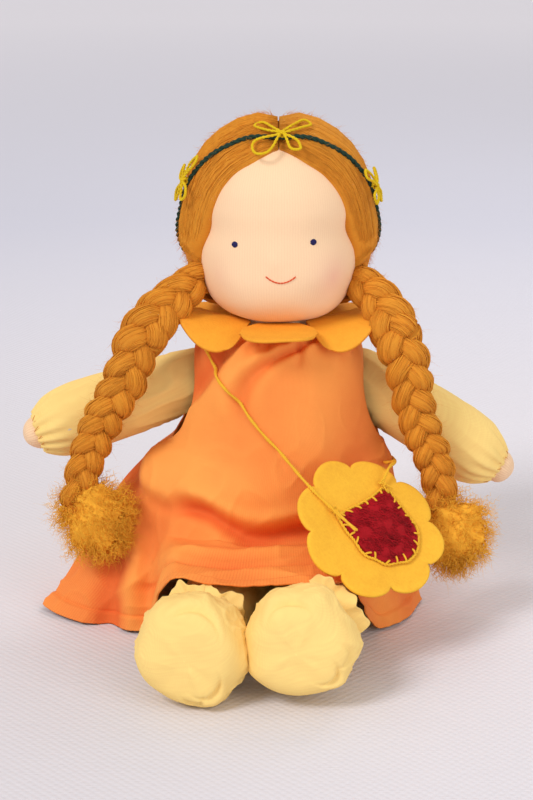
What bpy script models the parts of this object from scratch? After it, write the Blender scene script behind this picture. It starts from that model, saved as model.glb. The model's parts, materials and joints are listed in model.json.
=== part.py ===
"""Seated cloth doll with a felt collar, plaited wool hair and a felt flower bag.

Metres, +Z up, the face looks along -Y and +X is the viewer's right. The origin
is on the flat underside of the torso, which is the face the doll sits on.
"""

from math import asin, atan2, cos, pi, radians, sin

import bmesh
import bpy
from mathutils import Matrix, Vector
from mathutils.bvhtree import BVHTree

# Clearances and cloth
GAP = 0.0003
CLOTH = 0.0012
OVERRUN = 0.010
MERGE = 0.00001
RAY_LENGTH = 0.040
LIFT_START = 0.010
LIFT_STEP = 0.0001
MITRE_LIMIT_SHARE = 0.5

# Smoothness, as counts and as angles down a round end
HEAD_STEPS = 24
TORSO_STEPS = 18
LIMB_STEPS = 16
TUFT_STEPS = 14
SMALL_STEPS = 10
SCOOP_STEPS = 8
KNOT_STEPS = 6
LAYING_ROUNDS = 6
ROOT_DEGS = (0.0, 30.0, 60.0)
HAND_DEGS = (50.0, 80.0, 110.0, 140.0, 160.0)

# Head: skin radius at the cheeks, height from neck seam to top of skin
HEAD_RADIUS = 0.0445
HEAD_HEIGHT = 0.108
HEAD_BOTTOM = 0.1725
NECK_RADIUS = 0.0175
NECK_BOTTOM = 0.1630
HEAD_TURNED_DEG = -3.0
HEAD_SHARES = [
    (0.40, 0.975),
    (0.72, 0.890),
    (0.92, 0.750),
    (0.985, 0.620),
    (0.945, 0.500),
    (1.000, 0.370),
    (0.980, 0.240),
    (0.870, 0.120),
    (0.660, 0.035),
]
EYE_LINE_ROW = 5

# Threads tied round the head core and the neck
THREAD_RADIUS = 0.0005

# Face
EYE_RADIUS = 0.0019
EYE_THICKNESS = 0.0009
EYE_ANGLE_DEG = 28.5
EYE_HEIGHT = 0.2215
EYE_SHARES = [
    (0.0, 1.0),
    (0.7, 0.8),
    (1.0, 0.0),
    (0.0, 0.0),
]
SLOPE_REACH = 0.0022
MOUTH_RADIUS = 0.0007
MOUTH_ANGLE_DEG = 12.0
MOUTH_HEIGHT = 0.2010
MOUTH_RISE = 0.0036
MOUTH_POINTS = 7

# Wool hair
HAIR_RADIUS = 0.0545
HAIR_TOP = 0.2885
HAIR_BOTTOM = 0.1800
HAIR_SHARES = [
    (0.40, 0.965),
    (0.73, 0.850),
    (0.93, 0.680),
    (1.00, 0.470),
    (0.975, 0.280),
    (0.890, 0.120),
    (0.740, 0.000),
]
FACE_HALF_WIDTH = 0.0452
FACE_PEAK = 0.2730
FACE_EDGE_Y = -0.009
FACE_ARCH_SHARES = [
    (0.00, 1.00),
    (0.22, 0.90),
    (0.50, 0.75),
    (0.75, 0.57),
    (0.92, 0.38),
    (1.00, 0.15),
    (1.00, -0.30),
]
FACE_ARCH_HEIGHT = 0.075
PARTING_WIDTH = 0.0016
PARTING_DEPTH = 0.0015

# Headband of twisted yarn and its flowers
BAND_RADIUS = 0.0014
BAND_STEPS = 32
BAND_SLACK = 0.0008
BAND_CENTRE = Vector((0.0, -0.0062, 0.236))
BAND_TILT_DEG = -64.0
BAND_NAPE_TILT_DEG = -44.0
FLOWER_COUNT = 5
FLOWER_FIRST_DEG = 92.0
FLOWER_LOOP = 0.0130
FLOWER_HEART = 0.0026
FLOWER_YARN = 0.0013
FLOWER_LOOPS = 4
FLOWER_POINTS = 20

# Plaits: centre lines from the shoulder down, chosen by hand
PLAIT_RADIUS = 0.0125
PLAIT_END_RADIUS = 0.0100
PLAIT_DEPTH_SHARE = 0.84
PLAIT_LOBE_SHARE = 0.17
PLAIT_LOBE_LENGTH = 0.0165
PLAIT_BEAT_SHARE = 0.25
PLAIT_ROOT_DEGS = (80.0, 52.0, 26.0)
PLAIT_RINGS = 24
PLAIT_SIDES = 12
TIE_RADIUS = 0.0010
TIE_LENGTH = 0.0050
LOCK_RADIUS = 0.0108
LOCK_POINTS = 8
LEFT_PLAIT = [
    (-0.0755, -0.0315, 0.1690),
    (-0.0815, -0.0335, 0.1575),
    (-0.0882, -0.0345, 0.1400),
    (-0.0990, -0.0345, 0.1190),
    (-0.1078, -0.0345, 0.1010),
    (-0.1125, -0.0345, 0.0850),
    (-0.1150, -0.0345, 0.0700),
]
RIGHT_PLAIT = [
    (0.0660, -0.0315, 0.1690),
    (0.0710, -0.0340, 0.1560),
    (0.0740, -0.0350, 0.1400),
    (0.0790, -0.0355, 0.1220),
    (0.0860, -0.0355, 0.1020),
    (0.0910, -0.0360, 0.0850),
    (0.0930, -0.0365, 0.0700),
]
LEFT_LOCK = [
    (-0.0430, -0.0100, 0.1960),
    (-0.0545, -0.0170, 0.1900),
    (-0.0670, -0.0255, 0.1800),
]
RIGHT_LOCK = [
    (0.0430, -0.0100, 0.1950),
    (0.0535, -0.0180, 0.1885),
    (0.0615, -0.0260, 0.1795),
]
TUFT_LENGTH = 0.038
TUFT_HALF_WIDTH = 0.0230
TUFT_HALF_DEPTH = 0.0095
LEFT_TUFT_LEAN_DEG = 16.0
RIGHT_TUFT_LEAN_DEG = 8.0
TUFT_FORWARD_DEG = 24.0
TUFT_SHARES = [
    (0.24, 0.055),
    (0.46, 0.130),
    (0.80, 0.35),
    (1.00, 0.62),
    (0.86, 0.85),
    (0.45, 0.98),
]

# Torso, sewn cover round wool stuffing
TORSO_HALF_WIDTH = 0.0460
TORSO_TOP = NECK_BOTTOM - GAP
TORSO_DEPTH_SHARE = 0.70
TORSO_NECK_OPENING = 0.008
TORSO_SHARES = [
    (0.46, 1.000),
    (0.78, 0.955),
    (0.96, 0.890),
    (0.98, 0.800),
    (0.90, 0.665),
    (0.93, 0.490),
    (1.00, 0.320),
    (1.00, 0.150),
    (0.90, 0.035),
    (0.78, 0.000),
]

# Arms: the shoulder pivot is the centre of the arm's round root
SHOULDER_X = 0.0500
SHOULDER_Z = 0.1345
ARM_LENGTH = 0.1050
ARM_RADIUS = 0.0208
LEFT_ARM_DROP_DEG = 20.0
RIGHT_ARM_DROP_DEG = 34.0
SLEEVE_SHARES = [
    (0.845, 0.030),
    (0.870, 0.140),
    (0.950, 0.330),
    (1.000, 0.560),
    (0.965, 0.710),
    (0.850, 0.800),
    (0.660, 0.870),
    (0.560, 0.905),
]
HAND_RADIUS = 0.0098
WRIST_RADIUS = 0.0070
WRIST_LENGTH = 0.0100
CUFF_THREAD = 0.0004

# Legs: the hip pivot is the centre of the leg's round root
HIP_X = 0.0260
HIP_Y = -0.0330
HIP_Z = 0.0245
LEG_RADIUS = 0.0220
LEG_SHARES = [
    (0.970, 0.180),
    (0.930, 0.420),
    (0.860, 0.620),
    (0.690, 0.700),
]
FOOT_CENTRE = 0.1140
FOOT_RADIUS = 0.0281
LEFT_LEG_SPLAY_DEG = -10.0
RIGHT_LEG_SPLAY_DEG = -7.6
LEFT_LEG_RISE_DEG = 2.6
RIGHT_LEG_RISE_DEG = 4.4
ANKLE_RADIUS = 0.0146
BOOTIE_SHARES = [
    (0.620, 0.130),
    (0.800, 0.340),
    (0.960, 0.560),
    (1.000, 0.800),
    (0.950, 1.060),
    (0.780, 1.290),
    (0.480, 1.430),
]
BOOTIE_LENGTH = 0.0360
BOOTIE_CENTRE_SHARE = 0.930
RUFFLE_RADIUS = 0.0198
RUFFLE_LENGTH = 0.0060
BOOTIE_THREAD = 0.0006

# Dress: its full sizes at the floor, and the skirt's reach over the legs
DRESS_TOP = 0.1694
DRESS_LEFT = 0.1310
DRESS_RIGHT = 0.0810
DRESS_FRONT = 0.0700
DRESS_BACK = 0.0700
SKIRT_REACH = 0.0430
LAP_LEFT = 0.0740
LAP_RIGHT = 0.0580
LAP_EDGE = 0.0180
LAP_TOP = 0.0575
LAP_HEM = 0.0520
ARMHOLE_TOP = 0.1620
ARMHOLE_BOTTOM = 0.1000
ARMHOLE_HALF = 0.0225
FOLD_COUNT = 9
FOLD_DEPTH = 0.0024
FOLD_START_SHARE = 0.55
LAP_FOLD_SHARE = 0.5
CORNER_SHARE = 0.15
FRONT_COLUMNS = 28
BACK_COLUMNS = 16
# Shares of the height, left, right, front, back and reach, from neck to hem
DRESS_SHARES = [
    (1.000, 0.187, 0.303, 0.343, 0.310, 0.00),
    (0.980, 0.268, 0.433, 0.465, 0.430, 0.00),
    (0.945, 0.350, 0.567, 0.570, 0.515, 0.00),
    (0.885, 0.368, 0.595, 0.640, 0.570, 0.00),
    (0.795, 0.372, 0.602, 0.700, 0.615, 0.00),
    (0.700, 0.392, 0.635, 0.735, 0.645, 0.00),
    (0.590, 0.438, 0.706, 0.765, 0.690, 0.00),
    (0.510, 0.560, 0.784, 0.785, 0.730, 0.00),
    (0.415, 0.687, 0.846, 0.815, 0.770, 0.04),
    (0.320, 0.771, 0.889, 0.857, 0.830, 0.14),
    (0.210, 0.855, 0.930, 0.914, 0.900, 0.42),
    (0.105, 0.930, 0.970, 0.970, 0.957, 0.72),
    (0.005, 1.000, 1.000, 1.000, 1.000, 1.00),
]

# Collar petals of felt
PETAL_COUNT = 6
PETAL_INNER = 0.0215
PETAL_OUTER = 0.0625
PETAL_HALF_WIDTH = 0.0205
PETAL_THICKNESS = 0.0015
PETAL_NECK_SHARE = 0.50
PETAL_WIDEST_SHARE = 0.62
PETAL_TIP_SHARE = 0.30
PETAL_CURVE_SHARE = 0.92
PETAL_BOW_SHARE = 0.12
COLLAR_TOP = 0.1716
COLLAR_DROOP = 0.0072
COLLAR_EDGE_DROOP = 0.0044
CHEST_DROOP_SHARE = 0.45
PETAL_ROWS = 5
PETAL_COLUMNS = 6

# Flower bag: its place, the way it faces and the way its pocket opens
BAG_RADIUS = 0.0435
BAG_THICKNESS = 0.0024
BAG_LOBES = 8
BAG_LOBE_SHARE = 0.15
BAG_LOBE_POWER = 0.6
BAG_POINTS = 64
BAG_CENTRE = Vector((0.0500, -0.0840, 0.0745))
BAG_FACING_SHARES = Vector((0.360, -0.580, 0.730))
BAG_ACROSS_SHARES = Vector((0.721, 0.670, 0.177))
POCKET_HALF_WIDTH = 0.0190
POCKET_TOP = 0.0135
POCKET_HEIGHT = 0.0400
POCKET_SHIFT = 0.0040
POCKET_THICKNESS = 0.0018
POCKET_STEPS = 14
STITCH_RADIUS = 0.0008
KNOT_RADIUS = 0.0018
KNOT_RISE = 0.0020

# Strap: points chosen by hand, laid on the dress between the two free ends
STRAP_RADIUS = 0.0009
STRAP_SLACK = 0.0004
STRAP_STEPS = 52
STRAP_SINK_SHARE = 0.5
STRAP_FREE_FRONT = [
    (0.0245, -0.0860, 0.0900),
    (0.0130, -0.0780, 0.1000),
]
STRAP_LAID = [
    (-0.0010, -0.0600, 0.1110),
    (-0.0158, -0.0540, 0.1236),
    (-0.0290, -0.0460, 0.1400),
    (-0.0370, -0.0300, 0.1560),
    (-0.0385, -0.0030, 0.1660),
    (-0.0320, 0.0240, 0.1580),
    (-0.0180, 0.0420, 0.1400),
    (0.0060, 0.0480, 0.1180),
    (0.0340, 0.0450, 0.1010),
    (0.0540, 0.0280, 0.0900),
    (0.0660, 0.0020, 0.0860),
    (0.0650, -0.0220, 0.0900),
]
STRAP_FREE_BACK = [
    (0.0660, -0.0400, 0.0970),
    (0.0615, -0.0550, 0.0985),
]

# Colours as red, green, blue and roughness
SKIN = ("skin_jersey", (0.97, 0.67, 0.46), 0.85)
WOOL = ("fleece_wool", (0.85, 0.80, 0.68), 0.95)
HAIR = ("hair_wool", (0.53, 0.21, 0.02), 0.80)
VELOUR = ("orange_velour", (1.00, 0.30, 0.05), 0.90)
COTTON = ("yellow_cotton", (0.95, 0.68, 0.20), 0.85)
COLLAR_FELT = ("ochre_felt", (0.86, 0.36, 0.03), 0.95)
BAG_FELT = ("yellow_felt", (0.96, 0.52, 0.04), 0.95)
RED_FELT = ("red_felt", (0.38, 0.01, 0.02), 0.95)
YELLOW_YARN = ("yellow_yarn", (0.88, 0.66, 0.01), 0.90)
GREEN_YARN = ("green_yarn", (0.03, 0.07, 0.04), 0.90)
EYE_THREAD = ("blue_thread", (0.06, 0.05, 0.19), 0.60)
MOUTH_THREAD = ("coral_thread", (0.87, 0.17, 0.06), 0.60)
PALE_THREAD = ("pale_thread", (0.80, 0.60, 0.35), 0.70)

SIDES = (("left", -1.0), ("right", 1.0))


# Scene, materials and placing


def clear_scene():
    """Remove every object, so that the doll stands in an empty file."""
    for item in list(bpy.data.objects):
        bpy.data.objects.remove(item, do_unlink=True)


def collection(name):
    """A collection of this name, linked to the scene."""
    group = bpy.data.collections.get(name) or bpy.data.collections.new(name)
    if name not in bpy.context.scene.collection.children:
        bpy.context.scene.collection.children.link(group)
    return group


def material(look):
    """A Principled material from a name, a colour and a roughness."""
    name, colour, roughness = look
    found = bpy.data.materials.get(name)
    if found:
        return found
    made = bpy.data.materials.new(name)
    made.use_nodes = True
    shader = made.node_tree.nodes["Principled BSDF"]
    shader.inputs["Base Color"].default_value = (*colour, 1.0)
    shader.inputs["Roughness"].default_value = roughness
    shader.inputs["Metallic"].default_value = 0.0
    return made


def place(name, data, look, parent=None):
    """An object for the data, in the doll's collection, with its material."""
    item = bpy.data.objects.new(name, data)
    collection("waldorf_doll").objects.link(item)
    if look and not data.materials:
        data.materials.append(material(look))
    item.parent = parent
    return item


def as_cutter(item):
    """Move an object to the cutters, which only shape other objects."""
    collection("waldorf_doll").objects.unlink(item)
    collection("cutters").objects.link(item)
    item.hide_render = True
    item.display_type = "WIRE"
    return item


def pivot(name, location, rotation=(0.0, 0.0, 0.0), parent=None):
    """An empty that stands on a joint's axis."""
    empty = bpy.data.objects.new(name, None)
    collection("waldorf_doll").objects.link(empty)
    empty.location = location
    empty.rotation_euler = rotation
    empty.parent = parent
    return empty


# Shapes


def mesh_from(name, points, faces=(), edges=()):
    """A mesh from points and faces or edges."""
    data = bpy.data.meshes.new(name)
    data.from_pydata([tuple(p) for p in points], list(edges), list(faces))
    return data


def turned(name, profile, look, parent=None, steps=LIMB_STEPS, wall=0.0, closed=False):
    """A profile of (radius, height) turned about Z, its outer side from top to bottom."""
    count = len(profile)
    edges = [(i, i + 1) for i in range(count - 1)]
    if closed:
        edges.append((count - 1, 0))
    data = mesh_from(name, [(r, 0.0, z) for r, z in profile], edges=edges)
    item = place(name, data, look, parent)
    screw = item.modifiers.new("turn", "SCREW")
    screw.steps = steps
    screw.render_steps = steps
    screw.use_merge_vertices = True
    screw.merge_threshold = MERGE
    screw.use_smooth_shade = True
    if wall:
        shell = item.modifiers.new("wall", "SOLIDIFY")
        shell.thickness = wall
        shell.offset = -1.0
        shell.use_even_offset = True
    return item


def sheet(name, rows, look, wall, parent=None):
    """An open grid of points, given rows of equal length, made solid inwards."""
    wide = len(rows[0])
    points = [p for row in rows for p in row]
    faces = []
    for i in range(len(rows) - 1):
        for j in range(wide - 1):
            a = i * wide + j
            faces.append((a, a + wide, a + wide + 1, a + 1))
    data = mesh_from(name, points, faces)
    data.shade_smooth()
    item = place(name, data, look, parent)
    shell = item.modifiers.new("wall", "SOLIDIFY")
    shell.thickness = wall
    shell.offset = -1.0
    return item


def loft(name, rings, look, parent=None):
    """Closed rings of equal count joined into one solid, capped at both ends."""
    wide = len(rings[0])
    points = [p for ring in rings for p in ring]
    faces = []
    for i in range(len(rings) - 1):
        for j in range(wide):
            a = i * wide + j
            b = i * wide + (j + 1) % wide
            faces.append((a, b, b + wide, a + wide))
    faces.append(tuple(reversed(range(wide))))
    faces.append(tuple(range(len(points) - wide, len(points))))
    data = mesh_from(name, points, faces)
    work = bmesh.new()
    work.from_mesh(data)
    bmesh.ops.recalc_face_normals(work, faces=work.faces)
    work.to_mesh(data)
    work.free()
    data.shade_smooth()
    return place(name, data, look, parent)


def tube(name, points, radius, look, parent=None, cyclic=False, resolution=2, radii=None):
    """A round yarn or thread along points, with its ends filled."""
    data = bpy.data.curves.new(name, "CURVE")
    data.dimensions = "3D"
    data.bevel_depth = radius
    data.bevel_resolution = resolution
    data.use_fill_caps = not cyclic
    data.twist_mode = "MINIMUM"
    spline = data.splines.new("POLY")
    spline.points.add(len(points) - 1)
    for k, p in enumerate(points):
        spline.points[k].co = (*p, 1.0)
        spline.points[k].radius = radii[k] / radius if radii else 1.0
    spline.use_cyclic_u = cyclic
    return place(name, data, look, parent)


def flat_outline(name, outline, thickness, look, parent=None):
    """A flat closed outline in the local XY plane, extruded both ways."""
    data = bpy.data.curves.new(name, "CURVE")
    data.dimensions = "2D"
    data.fill_mode = "BOTH"
    data.extrude = thickness / 2
    spline = data.splines.new("POLY")
    spline.points.add(len(outline) - 1)
    for k, (x, y) in enumerate(outline):
        spline.points[k].co = (x, y, 0.0, 1.0)
    spline.use_cyclic_u = True
    return place(name, data, look, parent)


def meshed(item):
    """Turn a curve object into a welded mesh object of the same name and place."""
    bpy.context.view_layer.update()
    graph = bpy.context.evaluated_depsgraph_get()
    data = bpy.data.meshes.new_from_object(item.evaluated_get(graph))
    work = bmesh.new()
    work.from_mesh(data)
    bmesh.ops.remove_doubles(work, verts=work.verts, dist=MERGE)
    work.to_mesh(data)
    work.free()
    name, parent = item.name, item.parent
    basis = item.matrix_basis.copy()
    group = item.users_collection[0]
    bpy.data.objects.remove(item, do_unlink=True)
    solid = bpy.data.objects.new(name, data)
    group.objects.link(solid)
    solid.parent = parent
    solid.matrix_basis = basis
    return solid


def cut(item, cutter):
    """Take the cutter's shape out of the item."""
    step = item.modifiers.new("cut", "BOOLEAN")
    step.operation = "DIFFERENCE"
    step.solver = "EXACT"
    step.object = cutter


def ball_cutter(name, centre, radius):
    """A ball that only cuts."""
    data = bpy.data.meshes.new(name)
    work = bmesh.new()
    bmesh.ops.create_uvsphere(work, u_segments=HEAD_STEPS, v_segments=HEAD_STEPS // 2, radius=radius)
    work.to_mesh(data)
    work.free()
    item = as_cutter(place(name, data, None))
    item.location = centre
    return item


# Curves and surfaces by formula


def smooth_path(points, count):
    """Count points, evenly numbered, on a smooth curve through the given points."""
    knots = [Vector(p) for p in points]
    knots = [2 * knots[0] - knots[1], *knots, 2 * knots[-1] - knots[-2]]
    spans = len(points) - 1
    out = []
    for k in range(count):
        at = spans * k / (count - 1)
        i = min(int(at), spans - 1)
        t = at - i
        a, b, c, d = knots[i : i + 4]
        near = 2 * b + (c - a) * t
        far = (2 * a - 5 * b + 4 * c - d) * t * t + (3 * b - a - 3 * c + d) * t**3
        out.append((near + far) / 2)
    return out


def step_up(low, high, at):
    """Nought below low, one above high, smooth between."""
    t = max(0.0, min(1.0, (at - low) / (high - low)))
    return t * t * (3 - 2 * t)


def profile_radius(profile, height):
    """The radius of a top to bottom profile at a height."""
    for (r0, z0), (r1, z1) in zip(profile, profile[1:]):
        if z1 <= height <= z0 and z0 > z1:
            return r0 + (r1 - r0) * (z0 - height) / (z0 - z1)
    return profile[-1][0]


def inset(profile, distance):
    """A profile moved inwards by a distance, mitred at its corners."""
    moved = []
    last = len(profile) - 1
    for k, (r, z) in enumerate(profile):
        here = Vector((r, z))
        into = (here - Vector(profile[max(k - 1, 0)])).normalized()
        away = (Vector(profile[min(k + 1, last)]) - here).normalized()
        into = away if k == 0 else into
        away = into if k == last else away
        mean = (into + away).normalized()
        reach = distance / max(mean.dot(into), MITRE_LIMIT_SHARE)
        moved.append((max(r + mean.y * reach, 0.0), z - mean.x * reach))
    if profile[0][0] == 0.0:
        moved[0] = (0.0, profile[0][1] - distance)
    if profile[-1][0] == 0.0:
        moved[-1] = (0.0, profile[-1][1] + distance)
    return moved


def surface_of(items):
    """A search tree over the evaluated surfaces of objects, in world space."""
    bpy.context.view_layer.update()
    graph = bpy.context.evaluated_depsgraph_get()
    points, faces = [], []
    for item in items:
        seen = item.evaluated_get(graph)
        data = seen.to_mesh()
        start = len(points)
        points.extend(item.matrix_world @ v.co for v in data.vertices)
        faces.extend([start + i for i in f.vertices] for f in data.polygons)
        seen.to_mesh_clear()
    return BVHTree.FromPolygons(points, faces)


def laid_on(points, tree, distance, heart_of):
    """Points put a distance outside a surface, on a ray from the heart of the form."""
    out = []
    for p in points:
        outward = (p - heart_of(p)).normalized()
        hit, _, _, _ = tree.ray_cast(p + outward * RAY_LENGTH, -outward)
        out.append(clear_of(p if hit is None else hit, outward, tree, distance))
    return out


def clear_of(p, outward, tree, distance):
    """A point moved outwards until it is at least a distance from a surface."""
    for _ in range(LAYING_ROUNDS):
        near, _, _, apart = tree.find_nearest(p)
        inside = (p - near).dot(outward) < 0.0
        if inside:
            p = p + outward * (apart + distance)
        elif apart < distance:
            p = p + outward * (distance - apart)
    return p


def lift_onto(points, way, tree, distance):
    """The least lift along a way that keeps points clear, found from above downwards."""
    points = points + [(a + b) / 2 for a, b in zip(points, points[1:] + points[:1])]
    lift = LIFT_START
    while min(tree.find_nearest(p + way * lift)[3] for p in points) >= distance:
        lift -= LIFT_STEP
    return lift + LIFT_STEP


# Head


def head_profile():
    """The skin's outer side from the top of the head to the foot of the neck."""
    points = [(0.0, HEAD_BOTTOM + HEAD_HEIGHT)]
    points += [(a * HEAD_RADIUS, HEAD_BOTTOM + b * HEAD_HEIGHT) for a, b in HEAD_SHARES]
    points += [(NECK_RADIUS, HEAD_BOTTOM), (NECK_RADIUS, NECK_BOTTOM)]
    return points


def hair_profile():
    """The hair's outer side, from the crown to the nape."""
    tall = HAIR_TOP - HAIR_BOTTOM
    points = [(0.0, HAIR_TOP)]
    points += [(a * HAIR_RADIUS, HAIR_BOTTOM + b * tall) for a, b in HAIR_SHARES]
    return points


def lowered(profile, by):
    """A profile with its heights measured from another level."""
    return [(r, z - by) for r, z in profile]


def make_head(axis):
    """Wool core, jersey skin and the two threads that shape it."""
    outer = head_profile()
    turned("head_skin", lowered(outer, NECK_BOTTOM), SKIN, axis, HEAD_STEPS, wall=CLOTH)
    core = inset(outer, CLOTH + GAP)
    notch = EYE_LINE_ROW
    seat = 2 * THREAD_RADIUS + GAP
    core[notch] = (core[notch][0] - seat, core[notch][1])
    neck = NECK_RADIUS - CLOTH - GAP - seat
    core[-2:] = [(neck, core[-2][1]), (neck, NECK_BOTTOM), (0.0, NECK_BOTTOM)]
    turned("head_core", lowered(core, NECK_BOTTOM), WOOL, axis, HEAD_STEPS)
    ties = (
        ("eye_line_thread", core[notch]),
        ("neck_thread", (neck, (HEAD_BOTTOM + NECK_BOTTOM) / 2)),
    )
    for name, (radius, height) in ties:
        ring = radius + GAP + THREAD_RADIUS
        points = circle(ring, height - NECK_BOTTOM, HEAD_STEPS)
        tube(name, points, THREAD_RADIUS, PALE_THREAD, axis, cyclic=True, resolution=0)


def circle(radius, height, count):
    """Points round a level circle about Z."""
    turns = [2 * pi * k / count for k in range(count)]
    return [Vector((radius * cos(t), radius * sin(t), height)) for t in turns]


def on_face(angle, height, lift):
    """A place on the face at an angle from straight ahead, and the way it faces."""
    profile = head_profile()
    above = profile_radius(profile, height + SLOPE_REACH)
    below = profile_radius(profile, height - SLOPE_REACH)
    slope = atan2(below - above, 2 * SLOPE_REACH)
    out = Vector((sin(angle) * cos(slope), -cos(angle) * cos(slope), sin(slope)))
    radius = profile_radius(profile, height)
    at = Vector((sin(angle) * radius, -cos(angle) * radius, height))
    return at + out * lift, out


def make_face(axis):
    """Two sewn eyes and a mouth, lying on the skin."""
    for name, side in SIDES:
        angle = radians(side * EYE_ANGLE_DEG + HEAD_TURNED_DEG)
        at, out = on_face(angle, EYE_HEIGHT, GAP)
        dome = [(a * EYE_RADIUS, b * EYE_THICKNESS) for a, b in EYE_SHARES]
        eye = turned(f"{name}_eye", dome, EYE_THREAD, axis, SMALL_STEPS)
        eye.location = at - Vector((0.0, 0.0, NECK_BOTTOM))
        eye.rotation_euler = out.to_track_quat("Z", "Y").to_euler()
    points = []
    for k in range(MOUTH_POINTS):
        share = 2 * k / (MOUTH_POINTS - 1) - 1
        angle = radians(share * MOUTH_ANGLE_DEG + HEAD_TURNED_DEG)
        height = MOUTH_HEIGHT + MOUTH_RISE * share * share
        at, _ = on_face(angle, height, GAP + MOUTH_RADIUS)
        points.append(at - Vector((0.0, 0.0, NECK_BOTTOM)))
    tube("mouth", points, MOUTH_RADIUS, MOUTH_THREAD, axis, resolution=0)


def face_opening():
    """The pointed arch that frames the face, as a cutter."""
    half = [(a * FACE_HALF_WIDTH, b * FACE_ARCH_HEIGHT) for a, b in FACE_ARCH_SHARES]
    outline = half + [(-x, y) for x, y in reversed(half[1:])]
    deep = HAIR_RADIUS + OVERRUN
    arch = flat_outline("face_opening", outline, deep, None)
    arch = as_cutter_mesh(arch)
    arch.rotation_euler = (radians(90.0), 0.0, 0.0)
    arch.location = (0.0, FACE_EDGE_Y - deep / 2, FACE_PEAK - FACE_ARCH_HEIGHT)
    return arch


def as_cutter_mesh(item):
    """A curve made a mesh and moved to the cutters."""
    return as_cutter(meshed(item))


def make_hair(axis):
    """The cap of wool, open round the face and parted in the middle."""
    outer = hair_profile()
    inner = [p for p in inset(head_profile(), -GAP) if p[1] > HAIR_BOTTOM]
    inner[0] = (0.0, HEAD_BOTTOM + HEAD_HEIGHT + GAP)
    foot = (profile_radius(head_profile(), HAIR_BOTTOM) + GAP, HAIR_BOTTOM)
    ring = outer + [foot] + list(reversed(inner))
    cap = turned("hair_cap", lowered(ring, NECK_BOTTOM), HAIR, axis, HEAD_STEPS)
    cut(cap, face_opening())
    groove = turned(
        "parting_groove",
        [
            (HAIR_RADIUS + PARTING_DEPTH, PARTING_WIDTH),
            (HAIR_RADIUS + PARTING_DEPTH, -PARTING_WIDTH),
            (HAIR_RADIUS - PARTING_DEPTH, 0.0),
        ],
        None,
        None,
        HEAD_STEPS,
        closed=True,
    )
    as_cutter(groove)
    groove.rotation_euler = (0.0, radians(90.0), 0.0)
    groove.location = (0.0, 0.0, HAIR_TOP - HAIR_RADIUS)
    cut(cap, groove)
    return cap


def band_way(turn):
    """The way from the band's centre to its yarn, which bends up at the nape."""
    bend = (BAND_NAPE_TILT_DEG - BAND_TILT_DEG) * max(0.0, sin(turn))
    tilt = Matrix.Rotation(radians(BAND_TILT_DEG + bend), 3, "X")
    return tilt @ Vector((cos(turn), sin(turn), 0.0))


def make_headband(axis, cap):
    """A yarn ring laid on the hair, and flowers of four yarn loops on it."""
    turns = [2 * pi * k / BAND_STEPS for k in range(BAND_STEPS)]
    rough = [BAND_CENTRE + band_way(turn) * HAIR_RADIUS for turn in turns]
    tree = surface_of([cap])
    lay = GAP + BAND_RADIUS + BAND_SLACK
    points = laid_on(rough, tree, lay, lambda p: BAND_CENTRE)
    foot = Vector((0.0, 0.0, NECK_BOTTOM))
    local = [p - foot for p in points]
    band = tube("headband", local, BAND_RADIUS, GREEN_YARN, axis, cyclic=True, resolution=0)
    under = surface_of([cap, band])
    for k in range(FLOWER_COUNT):
        turn = radians(FLOWER_FIRST_DEG - 180.0) + 2 * pi * k / FLOWER_COUNT
        way = band_way(turn)
        rough = BAND_CENTRE + way * HAIR_RADIUS
        at = laid_on([rough], tree, lay, lambda p: BAND_CENTRE)[0]
        points = []
        for n in range(FLOWER_POINTS):
            round_it = 2 * pi * n / FLOWER_POINTS
            open_share = 0.5 + 0.5 * cos(FLOWER_LOOPS * round_it)
            reach = FLOWER_HEART + (FLOWER_LOOP - FLOWER_HEART) * open_share
            points.append((reach * cos(round_it), reach * sin(round_it), 0.0))
        name = f"headband_flower_{k + 1}"
        flower = tube(name, points, FLOWER_YARN, YELLOW_YARN, axis, cyclic=True, resolution=0)
        facing = way.to_track_quat("Z", "Y")
        reached = [at + facing @ Vector(p) for p in points]
        at += way * lift_onto(reached, way, under, FLOWER_YARN + 2 * GAP)
        flower.location = at - foot
        flower.rotation_euler = facing.to_euler()


# Plaits


def make_lock(name, route, root, axis):
    """The loose hair between the cap and the plait's root."""
    path = smooth_path([*route, root], LOCK_POINTS)
    foot = Vector((0.0, 0.0, NECK_BOTTOM))
    lock = tube(name, [p - foot for p in path], LOCK_RADIUS, HAIR, axis, resolution=2)
    lock = meshed(lock)
    around = turned(
        f"{name}_cap_clearance",
        inset(hair_profile(), -GAP) + [(0.0, HAIR_BOTTOM)],
        None,
        None,
        HEAD_STEPS,
    )
    cut(lock, as_cutter(around))
    ball = PLAIT_RADIUS + 2 * GAP
    cut(lock, ball_cutter(f"{name}_plait_clearance", root, ball))
    return lock


def plait_ring(at, ahead, base, run, lobe, root):
    """One section of the plait, swelling left and right in turn along its run."""
    across = ahead.cross(Vector((0.0, 1.0, 0.0))).normalized()
    front = across.cross(ahead).normalized()
    ring = []
    for n in range(PLAIT_SIDES):
        turn = 2 * pi * n / PLAIT_SIDES
        beat = PLAIT_BEAT_SHARE if cos(turn) > 0 else -PLAIT_BEAT_SHARE
        wave = cos(2 * pi * (run / PLAIT_LOBE_LENGTH + beat))
        reach = base * (1.0 + lobe * wave * abs(cos(turn)))
        flat = PLAIT_DEPTH_SHARE * base
        ring.append(at + across * reach * cos(turn) + front * flat * sin(turn) - root)
    return ring


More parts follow.
